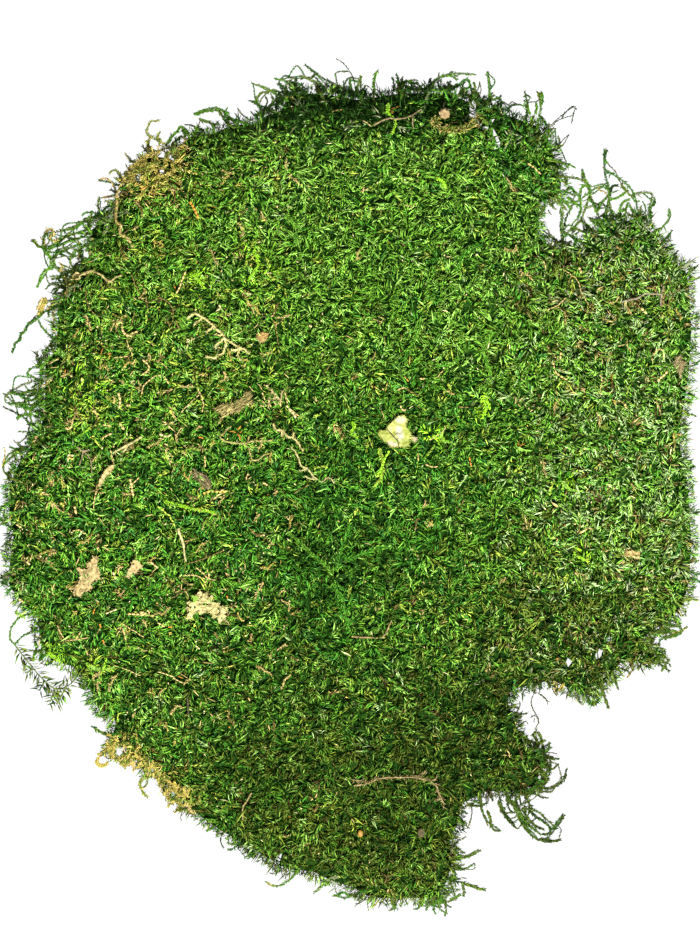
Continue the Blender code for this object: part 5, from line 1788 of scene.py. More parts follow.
@dataclass(frozen=True)
class Twig:
    """A thin dry twig or stalk, with knots, and with bristles or scale leaves along it."""

    name: str
    finish: PatternFinish
    radii: Pair
    routes: tuple[Plan, ...]
    knots: float = 0.22
    bristle_step: float = 0.0  # millimetres from one bristle to the next
    bristle: float = 0.9
    bristle_width: float = 0.3
    flat: bool = False  # bristles to its two sides only

    def _line(self, route: Plan, relief: Relief) -> Rows:
        """The middle line of one route, with small kinks.

        Args:
            route: its corners in plan.
            relief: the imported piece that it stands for.

        Returns:
            Rows of x, y and z.
        """
        line = smooth_route(route, 0.7)
        kinks = np.column_stack([wave(line, 2.2, 4.0), wave(line, 2.2, 9.0)]) * 0.3
        kinks[0] = 0.0
        heights = relief.heights(line, False) + 0.25 * wave(line, 3.0, 14.0)
        return np.column_stack([line + kinks, heights])

    def _bristles(self, points: Rows, rng: Random) -> Blades:
        """Bristles along one line of points.

        Args:
            points: rows of x, y and z along the twig.
            rng: source of the random draws.

        Returns:
            The bristles, as blades.
        """
        run = run_along(points)
        stations = np.arange(self.bristle_step * 0.5, run[-1], self.bristle_step)
        count = len(stations)
        place = at_stations(stations, run, points)
        ahead = unit(at_stations(stations, run, np.gradient(points, axis=0)))
        side = unit(np.cross(ahead, UP))
        turn = rng.choice([0.0, math.pi], count) if self.flat else rng.uniform(0.0, ROUND, count)
        turn = (turn + rng.normal(0.0, 0.25, count))[:, None]
        away = side * np.cos(turn) + np.cross(side, ahead) * np.abs(np.sin(turn))
        lean = np.radians(rng.uniform(35.0, 75.0, count))[:, None]
        return Blades(
            root=place, along=unit(ahead * np.cos(lean) + away * np.sin(lean)),
            sweep=ahead * rng.uniform(0.0, 0.4, count)[:, None],
            length=self.bristle * rng.uniform(0.6, 1.4, count), width=np.full(count, self.bristle_width),
            spin=rng.uniform(0.0, ROUND, count), shade=np.zeros(count), tone=np.zeros(count),
        )

    def build(self, relief: Relief) -> bpy.types.Object:
        """Makes the twig.

        Args:
            relief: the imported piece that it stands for.
        """
        rng = np.random.default_rng(len(self.name) + SEED)
        curve = bpy.data.curves.new(self.name, "CURVE")
        curve.dimensions = "3D"
        curve.bevel_depth = MM
        curve.bevel_resolution = 1
        curve.use_fill_caps = True
        hairs = []
        for number, route in enumerate(self.routes):
            points = self._line(route, relief)
            share = np.linspace(0.0, 1.0, len(points))
            radii = self.radii[0] * (1.0 if number == 0 else 0.8) * (1.0 - share) + self.radii[1] * share
            radii = radii * (1.0 + self.knots * rng.normal(0.0, 1.0, len(points)).clip(-1.2, 2.2))
            spline = curve.splines.new("POLY")
            spline.points.add(len(points) - 1)
            for spot, place, radius in zip(spline.points, points, radii):
                spot.co = (*(place * MM), 1.0)
                spot.radius = radius
            if self.bristle_step:
                hairs.append(self._bristles(points, rng))
        holder = bpy.data.objects.new(self.name, curve)
        bpy.context.scene.collection.objects.link(holder)
        bpy.context.view_layer.update()
        work = bmesh.new()
        work.from_mesh(holder.evaluated_get(bpy.context.evaluated_depsgraph_get()).to_mesh())
        bpy.data.objects.remove(holder)
        if hairs:
            work.from_mesh(Blades.joined(hairs).mesh(self.name + "_bristles", SHORT_BLADE, mapped=False))
        return new_object(self.name + "_dry", to_mesh(work, self.name), self.finish.material())


@dataclass(frozen=True)
class Pebble:
    """A seed or a small round dry disc, lumpy and a little dished."""

    name: str
    finish: PatternFinish
    rough: float = 0.16
    dish: float = 0.25

    def build(self, node: bpy.types.Object) -> bpy.types.Object:
        """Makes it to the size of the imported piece.

        Args:
            node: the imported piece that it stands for.
        """
        low, high = (Vector(corner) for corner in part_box(node.name))
        work = bmesh.new()
        bmesh.ops.create_icosphere(work, subdivisions=4, radius=1.0)
        for vert in work.verts:
            lumps = noise.noise(vert.co * 2.2 + low * 900) + 0.5 * noise.noise(vert.co * 5.5)
            out = math.hypot(vert.co.x, vert.co.y)
            vert.co *= 1.0 + self.rough * lumps
            if vert.co.z > 0.0:
                vert.co.z -= self.dish * max(1.0 - out * 1.4, 0.0)
        for vert in work.verts:
            vert.co = (low + high) / 2 + Vector(vert.co[i] * (high[i] - low[i]) / 2 for i in range(3))
        mesh = to_mesh(work, self.name)
        item = new_object(self.name + "_dry", mesh, self.finish.material())
        for face in mesh.polygons:
            face.use_smooth = True
        return item


DRY_LEAF = "685636 88784C 94865E"
SCRAPS: tuple[LeafScrap, ...] = (
    # Yellowing leaf: waxy skin still whole, so it is the palest, smoothest scrap of all
    LeafScrap(
        "pale_leaf",
        PatternFinish(
            "yellowing leaf", "6C7222 82863A 8E8F55", 2.2, 0.6,
            spots=(
                Spot((22.5, 23.0), (1.6, 3.6), "8E8A70", 15), Spot((22.9, 29.0), (2.2, 1.5), "8A8468"),
                Spot((19.2, 18.3), (2.4, 1.1), "8A7E66", -10), Spot((14.6, 21.8), (2.4, 2.2), "747931"),
                Spot((26.2, 18.6), (3.6, 2.2), "717830"), Spot((29.4, 20.4), (1.4, 1.2), "7D7352"),
                Spot((19.4, 22.0), (0.32, 4.4), "2A2010", 42), Spot((21.8, 18.6), (0.3, 2.0), "3A3016", 10),
            ),
        ),
        plan("""
    12.6,22.7 13.7,24.3 16.4,24.3 17.4,26.8 21.0,29.6 22.3,31.4 23.0,30.8 24.1,31.2 25.6,29.8 26.3,28.5
    24.8,26.8 26.4,24.7 28.2,21.9 27.6,21.2 30.7,21.2 30.5,19.5 29.3,18.7 27.0,19.8 26.8,17.8 25.6,16.8
    23.9,16.4 21.5,17.3 20.0,16.6 18.0,17.0 17.0,19.0 14.8,20.0
    """),
        jag=0.55, crumple=0.8, tooth=1.5,
    ),
    # Dry tan leaf: its cells shrank as it dried, so the surface is dull and finely creased
    LeafScrap(
        "tan_leaf_left", PatternFinish("dry tan leaf", "5B4B24 85744A 9B8C5D", 1.5, relief=0.5),
        plan("""
    -115,-32 -112.7,-32 -113,-36 -111.4,-40.3 -113,-43 -115.9,-43.4 -115.4,-45.7 -116.4,-47.9 -118.6,-47
    -121.3,-50.6 -123,-49.7 -123,-45.7 -120.8,-42.5 -121.8,-37.6 -117.7,-37.6 -117.2,-35.3
    """),
        jag=1.3, tooth=1.1, strips=40, strip_turn=70.0, strip_spread=40.0,
    ),
    LeafScrap(
        "tan_leaf_middle", PatternFinish("dry tan leaf", DRY_LEAF, 1.4),
        plan("""
    -100.1,-41.2 -98.8,-37.6 -97,-33.5 -94.7,-34 -92.9,-36.7 -95.2,-38.9 -97.4,-39.8 -98.8,-42
    """),
        cell=0.38, jag=0.8, worn=0.45,
    ),
    # Skeleton of a dry leaf: rot took the cells between the veins, which leaves a torn pale net
    LeafScrap(
        "tan_leaf_lower",
        PatternFinish(
            "skeleton of a dry leaf", "665E31 928956 A9A46F", 1.3, relief=0.5,
            spots=(
                Spot((-69.6, -51.4), (2.0, 1.5), "5C771F", 25), Spot((-70.5, -49.9), (1.3, 0.8), "5E7A24"),
            ),
        ),
        plan("""
    -67.1,-46.9 -66,-49.3 -63.6,-47.9 -63.8,-50.7 -61,-49.4 -62,-53.1 -58.6,-52.8 -58.2,-54.5 -55,-54.6
    -54.5,-57.2 -56.1,-58.5 -54,-62.8 -56.8,-60.3 -58.3,-62.6 -59.4,-59.6 -61.3,-60.4 -61.8,-57.9
    -63.6,-56.7 -66.6,-58.2 -68.9,-57 -71,-60.4 -74,-60 -71.7,-57.2 -73.7,-55.4 -70.7,-54.9 -73.4,-53
    -69.8,-52.5 -71,-49.8 -68.4,-49.5
    """),
        cell=0.36, jag=0.7, tooth=0.9, strips=60, strip_turn=-20.0, strip_spread=50.0, worn=0.3,
    ),
    LeafScrap(
        "tan_leaf_upper", PatternFinish("dry tan leaf", "5E4720 8E7340 A38E58", 1.2),
        plan("-41.6,67.5 -39,68.6 -36.7,67.9 -37.1,65 -39.8,63.7 -41.2,65.2"), cell=0.35, jag=0.7,
        strips=34, strip_turn=40.0, strip_spread=50.0,
    ),
    LeafScrap(
        "tan_leaf_right", PatternFinish("dry tan leaf", "6B592A 95834E AD9E67", 1.2),
        plan("""
    123.4,-29.9 126.2,-29.7 130.5,-30.1 130.3,-33.1 127.1,-32.6 123.6,-31.7
    """),
        cell=0.38, jag=0.6, strips=30, strip_spread=40.0,
    ),
    LeafScrap(
        "left_leaf", PatternFinish("dry tan leaf", "62502B 8B7A4C 9D9364", 1.3),
        plan("""
    -107.8,8.3 -105.1,9.2 -106.9,5.6 -109.6,2.9 -111.8,-1.1 -113,-1 -111.4,3.4 -109.6,6.5
    """),
        cell=0.38, jag=0.4,
    ),
    # Bark and bark fibre: split off along the grain, so they are streaked, dark and dull
    LeafScrap(
        "brown_flake",
        PatternFinish(
            "brown bark", "231E0F 584C2D 90865D", 0.8, relief=0.6, stretch=(0.3, 1.3, 1.0), turn=-50.0
        ),
        plan("""
    -70,7.4 -67.5,5.2 -64.8,4.5 -61.9,1.6 -62.3,-2.2 -65.2,-1 -68,1.1 -69.9,3.6
    """),
        jag=0.6, strips=60, strip_turn=-50.0, strip_spread=14.0, crumple=0.8,
    ),
    LeafScrap(
        "fibre_flake",
        PatternFinish(
            "weathered bark fibre", "3E3719 807340 B3AA67", 0.8, relief=0.6,
            stretch=(0.25, 1.4, 1.0), turn=33.0
        ),
        plan("""
    -61,34 -58.3,35.5 -53,36.6 -50,37.7 -48,39.2 -46,42.2 -44,40.3 -44.8,37.7 -42.6,36.2 -46.7,35.5
    -49.3,33.2 -55.3,31.4 -59,27.2 -57.2,31.4
    """),
        jag=0.8, strips=170, strip_length=(1.6, 5.5), strip_turn=33.0, strip_spread=13.0, crumple=0.7,
    ),
    LeafScrap(
        "right_flake", PatternFinish("red-brown bark", "4B3B24 6B5D3B 837D55", 1.0, relief=0.5),
        plan("""
    148.7,58.3 150.4,55.6 151.9,54.7 150.1,52.9 148.7,47.5 147.4,51.5 145.8,53.3 146.5,56.9
    """),
        cell=0.38, jag=0.5, strips=36, strip_turn=80.0, strip_spread=20.0,
    ),
)
TWIGS: tuple[Twig, ...] = (
    # Dry moss stalk: bleached by the sun, with curled side shoots that catch the light
    Twig(
        "dry_fern_sprig", PatternFinish("dry moss stalk", "5D5529 9A9358 B0AE78", 1.4), (0.46, 0.28),
        plans("""
    -73,74.3 -69.3,76.5 -66.5,75.4 -63.7,73.4 -61.1,71.1 -59,69.2 -56.8,67.4 -56.2,65.7 -53.6,64.2
    -50.8,62.3 -48.6,61.4 -46.5,60.1 -45,58.8; -66.5,75.4 -66.7,73.9 -69.7,71.5; -61.1,71.1 -62.3,69.6
    -64.4,68.3; -56.8,67.4 -58.4,66.9 -60.3,67.4; -56.2,65.7 -58.1,64 -59.8,62.7 -60.3,61.2; -56.2,65.7
    -55.4,63.5 -55.7,61.4 -56.8,59 -59,58 -60.3,56.7 -64.1,57.3; -48.6,61.4 -50.8,60.5 -53.1,60.3;
    -48.6,61.4 -50.2,58.6 -49,55.6
    """),
        bristle_step=0.3, bristle=1.15, bristle_width=0.36, flat=True,
    ),
    # Bristly twig: covered in stiff hairs, which give it a soft brown outline
    Twig(
        "bristly_twig", PatternFinish("dry bristly twig", "45391C 6D5D36 8A7B55", 1.2), (0.34, 0.29),
        plans("""
    2,-135.1 8.3,-134 12.8,-131.9 17.8,-131.5 23.6,-131.3 29,-131.3 33.6,-132.3 36.1,-132.9 39,-135.4
    39.9,-137.9 41.2,-140.8 42.5,-143.6; 8.3,-134 5.2,-132.9 1.4,-132.4; 29,-131.3 32,-130.6 34.2,-128.6;
    36.1,-132.9 38.2,-132.4 39.3,-130.9; 41.2,-140.8 38.3,-141.4
    """),
        bristle_step=0.55, bristle=2.1, bristle_width=0.36,
    ),
    # Dry twig or stem: thin bark, matte, with a long grain
    Twig(
        "thin_stick", PatternFinish("dry twig", "3B2E11 6A5732 85754D", 1.4), (0.34, 0.3),
        plans("1.1,-68.2 8,-68.6 15.1,-68.2 18.7,-61"),
    ),
    Twig(
        "brown_stem", PatternFinish("dry stem", "574D2C 8B8154 ABA573", 1.6), (0.6, 0.45),
        plans("-76.7,-20 -74.5,-27 -73.6,-34.4"),
    ),
    # Thready twig: bark worn to fibres, which makes it pale and fuzzy
    Twig(
        "thready_twig", PatternFinish("dry thready twig", "544A22 877B44 A0975F", 1.3), (0.3, 0.24),
        plans("""
    -53.1,26.1 -55.3,24.3 -57.9,20.9 -53.1,18.7 -47.8,18.3 -43.4,19.4 -40.3,19.6 -36.7,19.6 -34.6,20;
    -47.8,18.3 -45.4,16.8 -44.5,14.2 -43.4,10.8 -40.4,11.6 -36.7,14.2; -45.6,18.9 -45.2,21.6
    """),
        bristle_step=0.5, bristle=1.1, bristle_width=0.3,
    ),
    Twig(
        "forked_twig_upper", PatternFinish("dry moss stalk", "534A23 8C834E A6A066", 1.3), (0.44, 0.28),
        plans("""
    -34.1,27.2 -32.9,24.6 -30.3,24.3 -27.7,21.6 -25.1,20.9 -23.2,18.7 -20.6,14.9; -30.3,24.3 -30.4,21.4;
    -25.1,20.9 -25,23.4
    """),
        bristle_step=0.4, bristle=1.2, bristle_width=0.36, flat=True,
    ),
    Twig(
        "forked_twig_lower", PatternFinish("dry moss stalk", "504A24 888250 A19F6A", 1.3), (0.34, 0.26),
        plans("""
    -26.2,17.2 -23.6,13.5 -21.4,8.2 -18.8,7.1 -16.5,4.1 -14.3,2.3 -12.8,1.1 -9,3 -6.8,0.4; -18.8,7.1
    -22.5,6; -14.3,2.3 -17.5,2.6 -20.3,3.7
    """),
        bristle_step=0.5, bristle=1.0, bristle_width=0.36, flat=True,
    ),
    Twig(
        "bristle_bunch", PatternFinish("dry moss stalk", "564A25 938755 ABA371", 1.3), (0.38, 0.28),
        plans("""
    -37.5,44.5 -35.8,43 -32.6,39.8 -30.4,37.1; -34.6,41.8 -35.9,38.5 -36.5,34.4; -33.4,40.6 -34.2,38
    -32.9,35.8; -30.8,37.6 -29.9,42.5
    """),
        bristle_step=0.45, bristle=1.5, bristle_width=0.36,
    ),
    Twig(
        "left_twig", PatternFinish("dry twig", "58512C 8C8553 A39F6D", 1.4), (0.6, 0.42),
        plans("-92.9,21.4 -99,18 -106,14.2; -99,18 -101.5,14.5"), bristle_step=1.4,
    ),
    Twig(
        "far_left_twig", PatternFinish("dry twig", "39301D 63553B 817453", 1.4), (0.37, 0.30),
        plans("""
    -116.5,15.5 -119.5,15.1 -122.2,16.9; -119.5,15.1 -120.4,10.6 -121.3,8.3; -119.5,15.1 -116,11 -115.5,3.5
    """),
        bristle_step=1.0,
    ),
    Twig(
        "low_twig", PatternFinish("dry twig", "45391A 716338 8A7E51", 1.4), (0.37, 0.30),
        plans("-43.9,-138.4 -46.1,-142 -47.9,-145.1 -47.9,-150.5"), bristle_step=1.2,
    ),
    # Dark old twig: wet rot has blackened the bark
    Twig(
        "short_stick", PatternFinish("dark old twig", "18140C 2E2819 463E2C", 1.4), (0.52, 0.39),
        plans("-72.7,-95.6 -72.2,-103.3"),
    ),
    Twig(
        "edge_twig", PatternFinish("dry twig", "4D4323 867747 A19562", 1.4), (0.6, 0.42),
        plans("""
    -124.4,93.8 -120.6,94.2 -117.2,95.6 -113.6,95.3 -110.6,93.2 -107.5,91.1 -104.6,93.0 -102.2,93.8;
    -108.6,91.6 -105.9,90.2; -124.4,93.8 -122.2,95.4 -121.0,93.0 -123.0,92.2
    """),
        bristle_step=0.5,
    ),
    # Weathered twig: rain washed out the tannin, so it has gone grey
    Twig(
        "right_twig", PatternFinish("weathered twig", "3E3427 655C47 847B65", 1.4), (0.46, 0.39),
        plans("""
    122.2,82.1 125.6,82.8 129.6,83.8 132.8,85.6 137.3,85.6 140.2,85.5; 140.2,85.5 141.1,89.3; 140.2,85.5
    139.7,80.3
    """),
        bristle_step=0.9,
    ),
    Twig(
        "top_twig", PatternFinish("dry twig", "40341F 685A39 827752", 1.4), (0.41, 0.31),
        plans("""
    11,161.3 16.9,164 23.2,164 28.1,165.4; 28.1,165.4 28.6,159.5; 28.1,165.4 32.2,168.5
    """),
    ),
)
PEBBLES: tuple[Pebble, ...] = (
    # Discs and a seed coat: hard dried skins, a little smoother than the leaves
    Pebble("clump_disc", PatternFinish("dry leaf disc", "614E30 7F6B47 91805A", 1.0), 0.34),
    Pebble("seed", PatternFinish("orange seed coat", "5A3C0A 7E5C1A 92732F", 0.8, 0.5), 0.08, 0.0),
    Pebble("brown_disc", PatternFinish("dry brown disc", "231F0D 393317 4B4524", 0.9)),
)


@dataclass
class DryClump:
    """The dried clump at the top: a bent spine of dead moss with curled strips standing along it."""

    material: bpy.types.Material
    spine: Plan = plan("""
    37.4,164.6 38.6,162.2 41.2,159.7 45.0,158.8 48.6,158.9 51.6,159.6 55.0,162.0 58.2,165.6
    """)
    curls: int = 430

    def build(self, relief: Relief) -> bpy.types.Object:
        """Makes the clump.

        Args:
            relief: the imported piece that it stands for.
        """
        rng = np.random.default_rng(SEED + 5)
        line = smooth_route(self.spine, 0.2)
        points = np.column_stack([line, relief.heights(line, False)])
        rows = rng.integers(0, len(points), self.curls)
        ahead = unit(np.gradient(points, axis=0))[rows]
        side = unit(np.cross(ahead, UP))
        count = len(rows)
        turn = rng.uniform(0.0, 2.0 * math.pi, count)[:, None]
        away = side * np.cos(turn) + UP * np.sin(turn)
        start = points[rows] + away * rng.uniform(0.0, 1.0, count)[:, None]
        start = start + rng.normal(0.0, 0.45, (count, 3))
        along = unit(away + ahead * rng.normal(0.25, 0.5, count)[:, None])
        long = rng.uniform(0.9, 2.3, count)
        curls = Blades(
            root=start, along=along, sweep=ahead * (long * rng.uniform(-0.6, 1.0, count))[:, None],
            length=long, width=rng.uniform(0.36, 0.66, count), spin=rng.uniform(0.0, ROUND, count),
            shade=picked("GOLD 0.2, TAN 0.32, OLIVE 0.48", count, rng), tone=rng.uniform(0.05, 0.66, count),
        )
        return new_object("dry_clump_curls", curls.mesh("dry_clump_curls", LONG_BLADE), self.material)


@dataclass(frozen=True)
class Thread:
    """Loose bits of litter too small for parts of their own, alike in colour and width."""

    shade: Shade
    width: float
    routes: tuple[Plan, ...]
    tone: float = 0.55


THREADS: tuple[Thread, ...] = (
    Thread(
        Shade.TAN, 0.8,
        traced("""
    73,531 80,530 86,534; 58,624 62,632 66,640 76,639 89,637; 76,639 82,631; 114,665 125,668 141,675;
    158,671 169,674 183,682; 363,121 368,125 371,128; 446,426 441,433 429,440; 290,408 293,413 297,417;
    198,388 201,395 204,405 203,412; 200,395 194,400 188,406 182,412; 110,450 113,458 115,466; 99,484 97,490
    95,498 95,508; 140,477 134,483 129,488; 49,477 53,482 55,486; 184,575 195,575 205,578; 196,567 202,571
    207,577; 118,621 125,624 132,629 145,636; 123,627 126,639; 205,455 206,467; 258,384 262,390; 270,388
    278,398; 273,390 282,402; 268,398 271,407; 282,392 281,406; 285,392 288,404; 274,396 280,406; 291,410
    299,417; 260,406 264,407; 262,392 266,400; 249,386 254,391; 437,378 442,371; 425,464 431,467 437,467;
    417,453 418,461; 166,449 167,456 172,463; 208,568 209,577 203,586; 214,570 208,577 215,580; 562,270
    570,275 576,279 580,289.5 583.5,297.5 589.5,308; 542.5,260 546,269; 546,311 554.5,307 561.5,302
    565.5,297.5; 599,374 601,381.5 599,393.5; 617,346 625,345; 111,332 115.5,323; 127.5,340 133,355.5;
    142.5,395.5 144,387 153,378 163,375.5 169.5,383.5; 114.5,358 128.5,356.5
    """),
    ),
    Thread(
        Shade.TAN, 1.5,
        traced("""
    216,492 224,490; 150,561 158,567; 263,483 268,485; 527,164 533,168 540,175; 119,393 121,400 120,408;
    120,423 125,430; 103,425 112,426; 66,427 69,430 73,426; 102,440 106,437 112,434; 127,406 132,405; 17,524
    22,527; 27,561 31,564; 19,599 23,602; 52,506 56,503; 128,613 138,614 149,614; 140,612 154,616; 419,379
    425,379; 397,390 404,388; 400,405 402,411 406,410; 148,610 151,613; 75,505 77,514; 131,478 132,486
    134,496; 158,622 165,626; 186,272 182,283 178,294; 577.5,267 581,274; 561,352 560,359; 552,362.5
    555.5,373 566,380; 624,404 626,409.5; 652,355.5 659,348.5 662.5,350.5; 667.5,371 657,381.5; 640,308.5
    646.5,314; 143,360 149.5,366 148.5,371 142.5,375.5; 122.5,321 124,333 133.5,337.5; 139,331 126.5,336.5
    """),
    ),
    Thread(
        Shade.CREAM, 1.3,
        traced("""
    196,645 200,649; 106,613 112,611 118,609; 68,455 75,456; 218,305 221,309 217,311; 286,405 297,418;
    322,337 324,341; 160,434 166,437 172,435; 114,571 116,578
    """),
        0.36,
    ),
    Thread(Shade.CREAM, 2.2, traced("""
    642,589 648,588; 309,326 312,327; 321,355 324,355; 247,294 251,295
    """), 0.3),
    Thread(
        Shade.ORANGE, 1.1,
        traced("""
    95,608 95,613; 101,623 102,627; 103,639 105,642; 97,602 99,604; 199,437 204,438; 227,595 228,598;
    169,626 172,627; 404,377 408,381; 469,456 471,466
    """),
    ),
    Thread(Shade.ORANGE, 1.4, traced("190,202 195,210 199,219")),
    Thread(Shade.YELLOW_GREEN, 0.9, traced("158,506 169,515 176,526")),
    Thread(Shade.GOLD, 0.8, traced("9,520 15,510 19,500; 3,447 5,456 2,466"), 0.5),
    Thread(Shade.GOLD, 1.8, traced("""
    203,493 211,491 219,492 227,491; 61,502 65,506; 69,458 74,459; 170,632 172,634
    """)),
    Thread(Shade.BROWN, 1.7, traced("""
    563.5,310 565,318 564.5,326; 645,288.5 659,286 666,281.5; 664,288 661.5,307
    """)),
    Thread(Shade.OLIVE, 1.7, traced("""
    104,319 102.5,334; 174,448 180,451 186,451 193,448 200,450; 198,370 197,380 199,390
    """)),
    Thread(
        Shade.BROWN, 0.9,
        traced("""
    294,493 302,488 308,485; 331,113 338,111 343,110; 187,564 205,558 223,551; 172,597 182,593 194,586;
    42,409 46,416 50,421; 404,387 411,392 419,397; 77,497 81,503 86,511; 458,407 468,408
    """),
    ),
    Thread(
        Shade.BROWN, 0.6,
        traced("""
    131,275 135,282 137,288 142,297 148,303; 148,303 155,302 160,299 166,301 170,304 174,312 173,322
    170,326; 86,290 87,300 91,310 98,316 105,318; 112,313 120,318 124,322; 122,322 125,332 132,338 138,331;
    135,311 134,320 131,328; 103,322 102,335; 110,330 116,324; 168,320 172,334; 176,320 180,330; 274,320
    279,345; 147,303 149,309
    """),
        0.7,
    ),
    Thread(Shade.BROWN, 1.7, traced("615,246 621,250; 558,368 562,372; 46,427 52,426")),
    Thread(Shade.LIME, 1.6, traced("389,450 385,459 381,468 377,477"), 0.5),
)


@dataclass
class LooseLitter:
    """Dry threads, straws and crumbs scattered on the mat, most of them at the left and upper right."""

    ground: Ground
    material: bpy.types.Material
    straws: int = 260
    crumbs: int = 900
    tufts: int = 50
    sprigs: int = 170

    def _places(self, count: int, rng: Random) -> Rows:
        """Random places, closer together where the litter is thick.

        Args:
            count: how many are wanted at most.
            rng: source of the random draws.

        Returns:
            Rows of x and y.
        """
        low, high = self.ground.outline.min(0), self.ground.outline.max(0)
        plan = rng.uniform(low, high, (count * 5, 2))
        thick = 0.12 + 0.75 * (plan[:, 0] < -25) * (plan[:, 1] > -110) + 0.1 * (plan[:, 0] > 70)
        thick += 0.6 * np.exp(-(((plan[:, 0] - 108) / 40) ** 2) - ((plan[:, 1] - 92) / 25) ** 2)
        thick += 0.5 * wave(plan, 24.0, 17.0)
        kept = (rng.random(len(plan)) < thick) & (self.ground.rim_distance(plan) > 2.0)
        return plan[kept][:count]

    def _scatter(self, plan: Rows, length: Pair, width: Pair, rng: Random) -> Blades:
        """Lays one straw or crumb at each place.

        Args:
            plan: rows of x and y.
            length: shortest and longest.
            width: thinnest and thickest.
            rng: source of the random draws.

        Returns:
            The blades.
        """
        count = len(plan)
        up = self.ground.normal(plan)
        turn = rng.uniform(0.0, 2.0 * math.pi, count)
        flat = np.column_stack([np.cos(turn), np.sin(turn), rng.normal(0.0, 0.15, count)])
        along = unit(laid(flat, up) + up * rng.normal(0.0, 0.12, count)[:, None])
        long = rng.uniform(0.0, 1.0, count) ** 1.6 * (length[1] - length[0]) + length[0]
        return Blades(
            root=np.column_stack([plan, self.ground.top(plan) + rng.uniform(-0.7, 0.6, count)]),
            along=along, sweep=np.cross(up, along) * (long * rng.normal(0.0, 0.3, count))[:, None],
            length=long, width=rng.uniform(width[0], width[1], count), spin=rng.uniform(0.0, ROUND, count),
            shade=picked("TAN 0.5, BROWN 0.25, CREAM 0.03, GOLD 0.18, ORANGE 0.04", count, rng),
            tone=rng.uniform(0.12, 0.68, count),
        )

    def _tufts(self, rng: Random) -> Blades:
        """Small dead sprigs: a few straws from one place.

        Args:
            rng: source of the random draws.

        Returns:
            The straws, as blades.
        """
        centres = self._places(self.tufts, rng)
        plan = np.repeat(centres, 5, 0) + rng.normal(0.0, 0.5, (len(centres) * 5, 2))
        straws = self._scatter(plan, (1.6, 4.5), (0.4, 0.8), rng)
        straws.shade = np.repeat(straws.shade[::5], 5)
        straws.tone = np.repeat(straws.tone[::5], 5) + rng.normal(0.0, 0.08, len(plan))
        return straws

    def _sprig_routes(self, rng: Random) -> list[Plan]:
        """Routes of the small dead branched shoots: short, kinked, and more where the litter is thick.

        Args:
            rng: source of the random draws.

        Returns:
            One plan route for each shoot.
        """
        routes = []
        for place in self._places(self.sprigs, rng):
            heading = rng.uniform(0.0, 2.0 * math.pi)
            route = [tuple(place)]
            for _ in range(rng.integers(2, 6)):
                heading += rng.normal(0.0, 0.5)
                place = place + np.array([math.cos(heading), math.sin(heading)]) * rng.uniform(1.0, 2.2)
                route.append(tuple(place))
            routes.append(tuple(route))
        return routes

    def _threads(self, rng: Random) -> Blades:
        """The threads whose places are known, each a chain of straws.

        Args:
            rng: source of the random draws.

        Returns:
            The straws, as blades.
        """
        sets = []
        for thread, route in ((thread, route) for thread in THREADS for route in thread.routes):
            line = smooth_route(route, 1.6)
            count = len(line) - 1
            line = line + rng.normal(0.0, 0.16, line.shape)
            height = self.ground.top(line) + 0.5
            points = np.column_stack([line, height])
            step = np.diff(points, axis=0)
            long = np.linalg.norm(step, axis=1)
            sets.append(Blades(
                root=points[:-1] - step * 0.12, along=step / long[:, None],
                sweep=rng.normal(0.0, 0.12, (count, 3)), length=long * 1.3,
                width=np.full(count, thread.width), spin=np.full(count, rng.uniform(0.0, ROUND)),
                shade=np.full(count, thread.shade.value), tone=thread.tone + rng.normal(0.0, 0.06, count),
            ))
        return Blades.joined(sets)

    def build(self) -> list[bpy.types.Object]:
        """Makes the loose litter: one piece of straws and threads, one of crumbs."""
        rng = np.random.default_rng(SEED + 3)
        straws = self._scatter(self._places(self.straws, rng), (1.6, 6.5), (0.4, 0.8), rng)
        straws = Blades.joined([straws, self._tufts(rng), self._threads(rng)])
        crumbs = self._scatter(self._places(self.crumbs, rng), (0.9, 1.9), (0.55, 1.2), rng)
        crumbs.shade[::4] = Shade.CREAM.value
        sprigs = Strands(self.ground, self.material)
        for route in self._sprig_routes(rng):
            sprigs.add(route, FrondStyle.SPRIG, rng)
        return sprigs.pieces("loose_sprigs") + [
            new_object("loose_straws", straws.mesh("loose_straws", LONG_BLADE), self.material),
            new_object("loose_crumbs", crumbs.mesh("loose_crumbs", SHORT_BLADE), self.material),
        ]


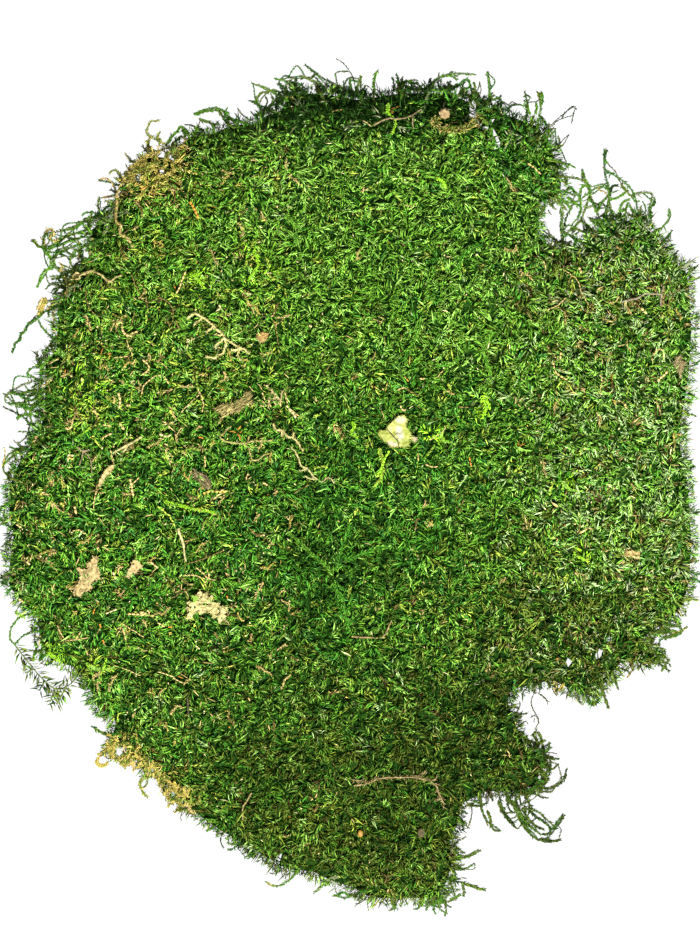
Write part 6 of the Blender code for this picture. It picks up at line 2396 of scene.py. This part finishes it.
@dataclass
class Studio:
    """A pale floor, soft light from above and below the picture, and the camera straight over the mat."""

    pixel: float = 0.45  # millimetres that one pixel of the photograph shows at the mat
    level: float = 9.0
    lens: float = 300.0
    sensor: float = 36.0
    view_centre: Pair = (0.23, 8.1)
    frame_height: float = 933.0

    def build(self) -> None:
        """Makes the floor, the lights and the camera."""
        scene = bpy.context.scene
        work = bmesh.new()
        bmesh.ops.create_circle(work, cap_ends=True, segments=64, radius=3.0)
        bmesh.ops.translate(work, verts=work.verts, vec=(0.0, 0.0, -0.0003))
        mesh = to_mesh(work, "studio_floor")
        material, _, shader = new_material("lit white board")
        shader.inputs["Base Color"].default_value = linear("3C3C3C")
        shader.inputs["Roughness"].default_value = 1.0
        shader.inputs["Emission Color"].default_value = linear("FFFFFF")
        shader.inputs["Emission Strength"].default_value = 0.97
        new_object("studio_floor", mesh, material)
        world = bpy.data.worlds.new("studio")
        world.use_nodes = True
        world.node_tree.nodes["Background"].inputs["Color"].default_value = linear("FFFFFF")
        world.node_tree.nodes["Background"].inputs["Strength"].default_value = 0.5
        scene.world = world
        self._lamp("key", (0.3, -0.85, 1.8), 0.3, 150.0)
        self._lamp("fill", (-0.9, 0.4, 1.5), 1.4, 8.0)
        data = bpy.data.cameras.new("photo_camera")
        data.lens = self.lens
        data.sensor_width = self.sensor
        camera = bpy.data.objects.new("photo_camera", data)
        scene.collection.objects.link(camera)
        span = self.frame_height * self.pixel
        away = span / 2 / (self.sensor / 2 / self.lens)
        camera.location = Vector((*self.view_centre, self.level + away)) * MM
        data.clip_start, data.clip_end = 0.05, 20.0
        scene.camera = camera
        scene.view_settings.view_transform = "Standard"

    @staticmethod
    def _lamp(name: str, place: tuple[float, float, float], size: float, power: float) -> None:
        """Adds a soft lamp that looks at the mat.

        Args:
            name: the lamp's name.
            place: where it hangs, in metres.
            size: its side, in metres.
            power: its strength, in watts.
        """
        data = bpy.data.lights.new(name, "AREA")
        data.energy = power
        data.size = size
        lamp = bpy.data.objects.new(name, data)
        bpy.context.scene.collection.objects.link(lamp)
        lamp.location = place
        lamp.rotation_mode = "QUATERNION"
        lamp.rotation_quaternion = (-Vector(place)).to_track_quat("-Z", "Y")


def put(pieces: list[bpy.types.Object], slot: str, *nodes: str) -> None:
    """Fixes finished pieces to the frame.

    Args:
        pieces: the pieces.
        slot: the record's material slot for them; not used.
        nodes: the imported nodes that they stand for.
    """
    for piece in pieces:
        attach(piece, "root")
        if nodes:
            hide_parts(*nodes)
        LOG.info("%s: %d triangles", piece.name, sum(len(face.vertices) - 2 for face in piece.data.polygons))


def main() -> None:
    """Builds the whole clump and the studio round it."""
    logging.basicConfig(level=logging.INFO, format="%(name)s: %(message)s")
    ground = Ground(frame["nodes"]["moss_mat"])
    leaf = LeafFinish().material()
    put(MossCover(ground, Colours(), leaf).build(), "moss", "moss_mat")
    put(EdgeFronds(ground, Strands(ground, leaf)).build(), "moss", "moss_mat")
    put(RestingShoots(Strands(ground, leaf)).build(), "moss", "moss_mat")
    put(MossBed(ground).build(leaf), "moss", "moss_mat")
    nodes = frame["nodes"]
    for part in SCRAPS + TWIGS:
        put([part.build(Relief(nodes[part.name]))], part.name, part.name)
    for pebble in PEBBLES:
        put([pebble.build(nodes[pebble.name])], pebble.name, pebble.name)
    put([DryClump(leaf).build(Relief(nodes["dry_clump"]))], "dry_clump", "dry_clump")
    put(LooseLitter(ground, leaf).build(), "moss")
    Studio().build()
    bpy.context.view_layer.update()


if __name__ == "__main__":
    main()
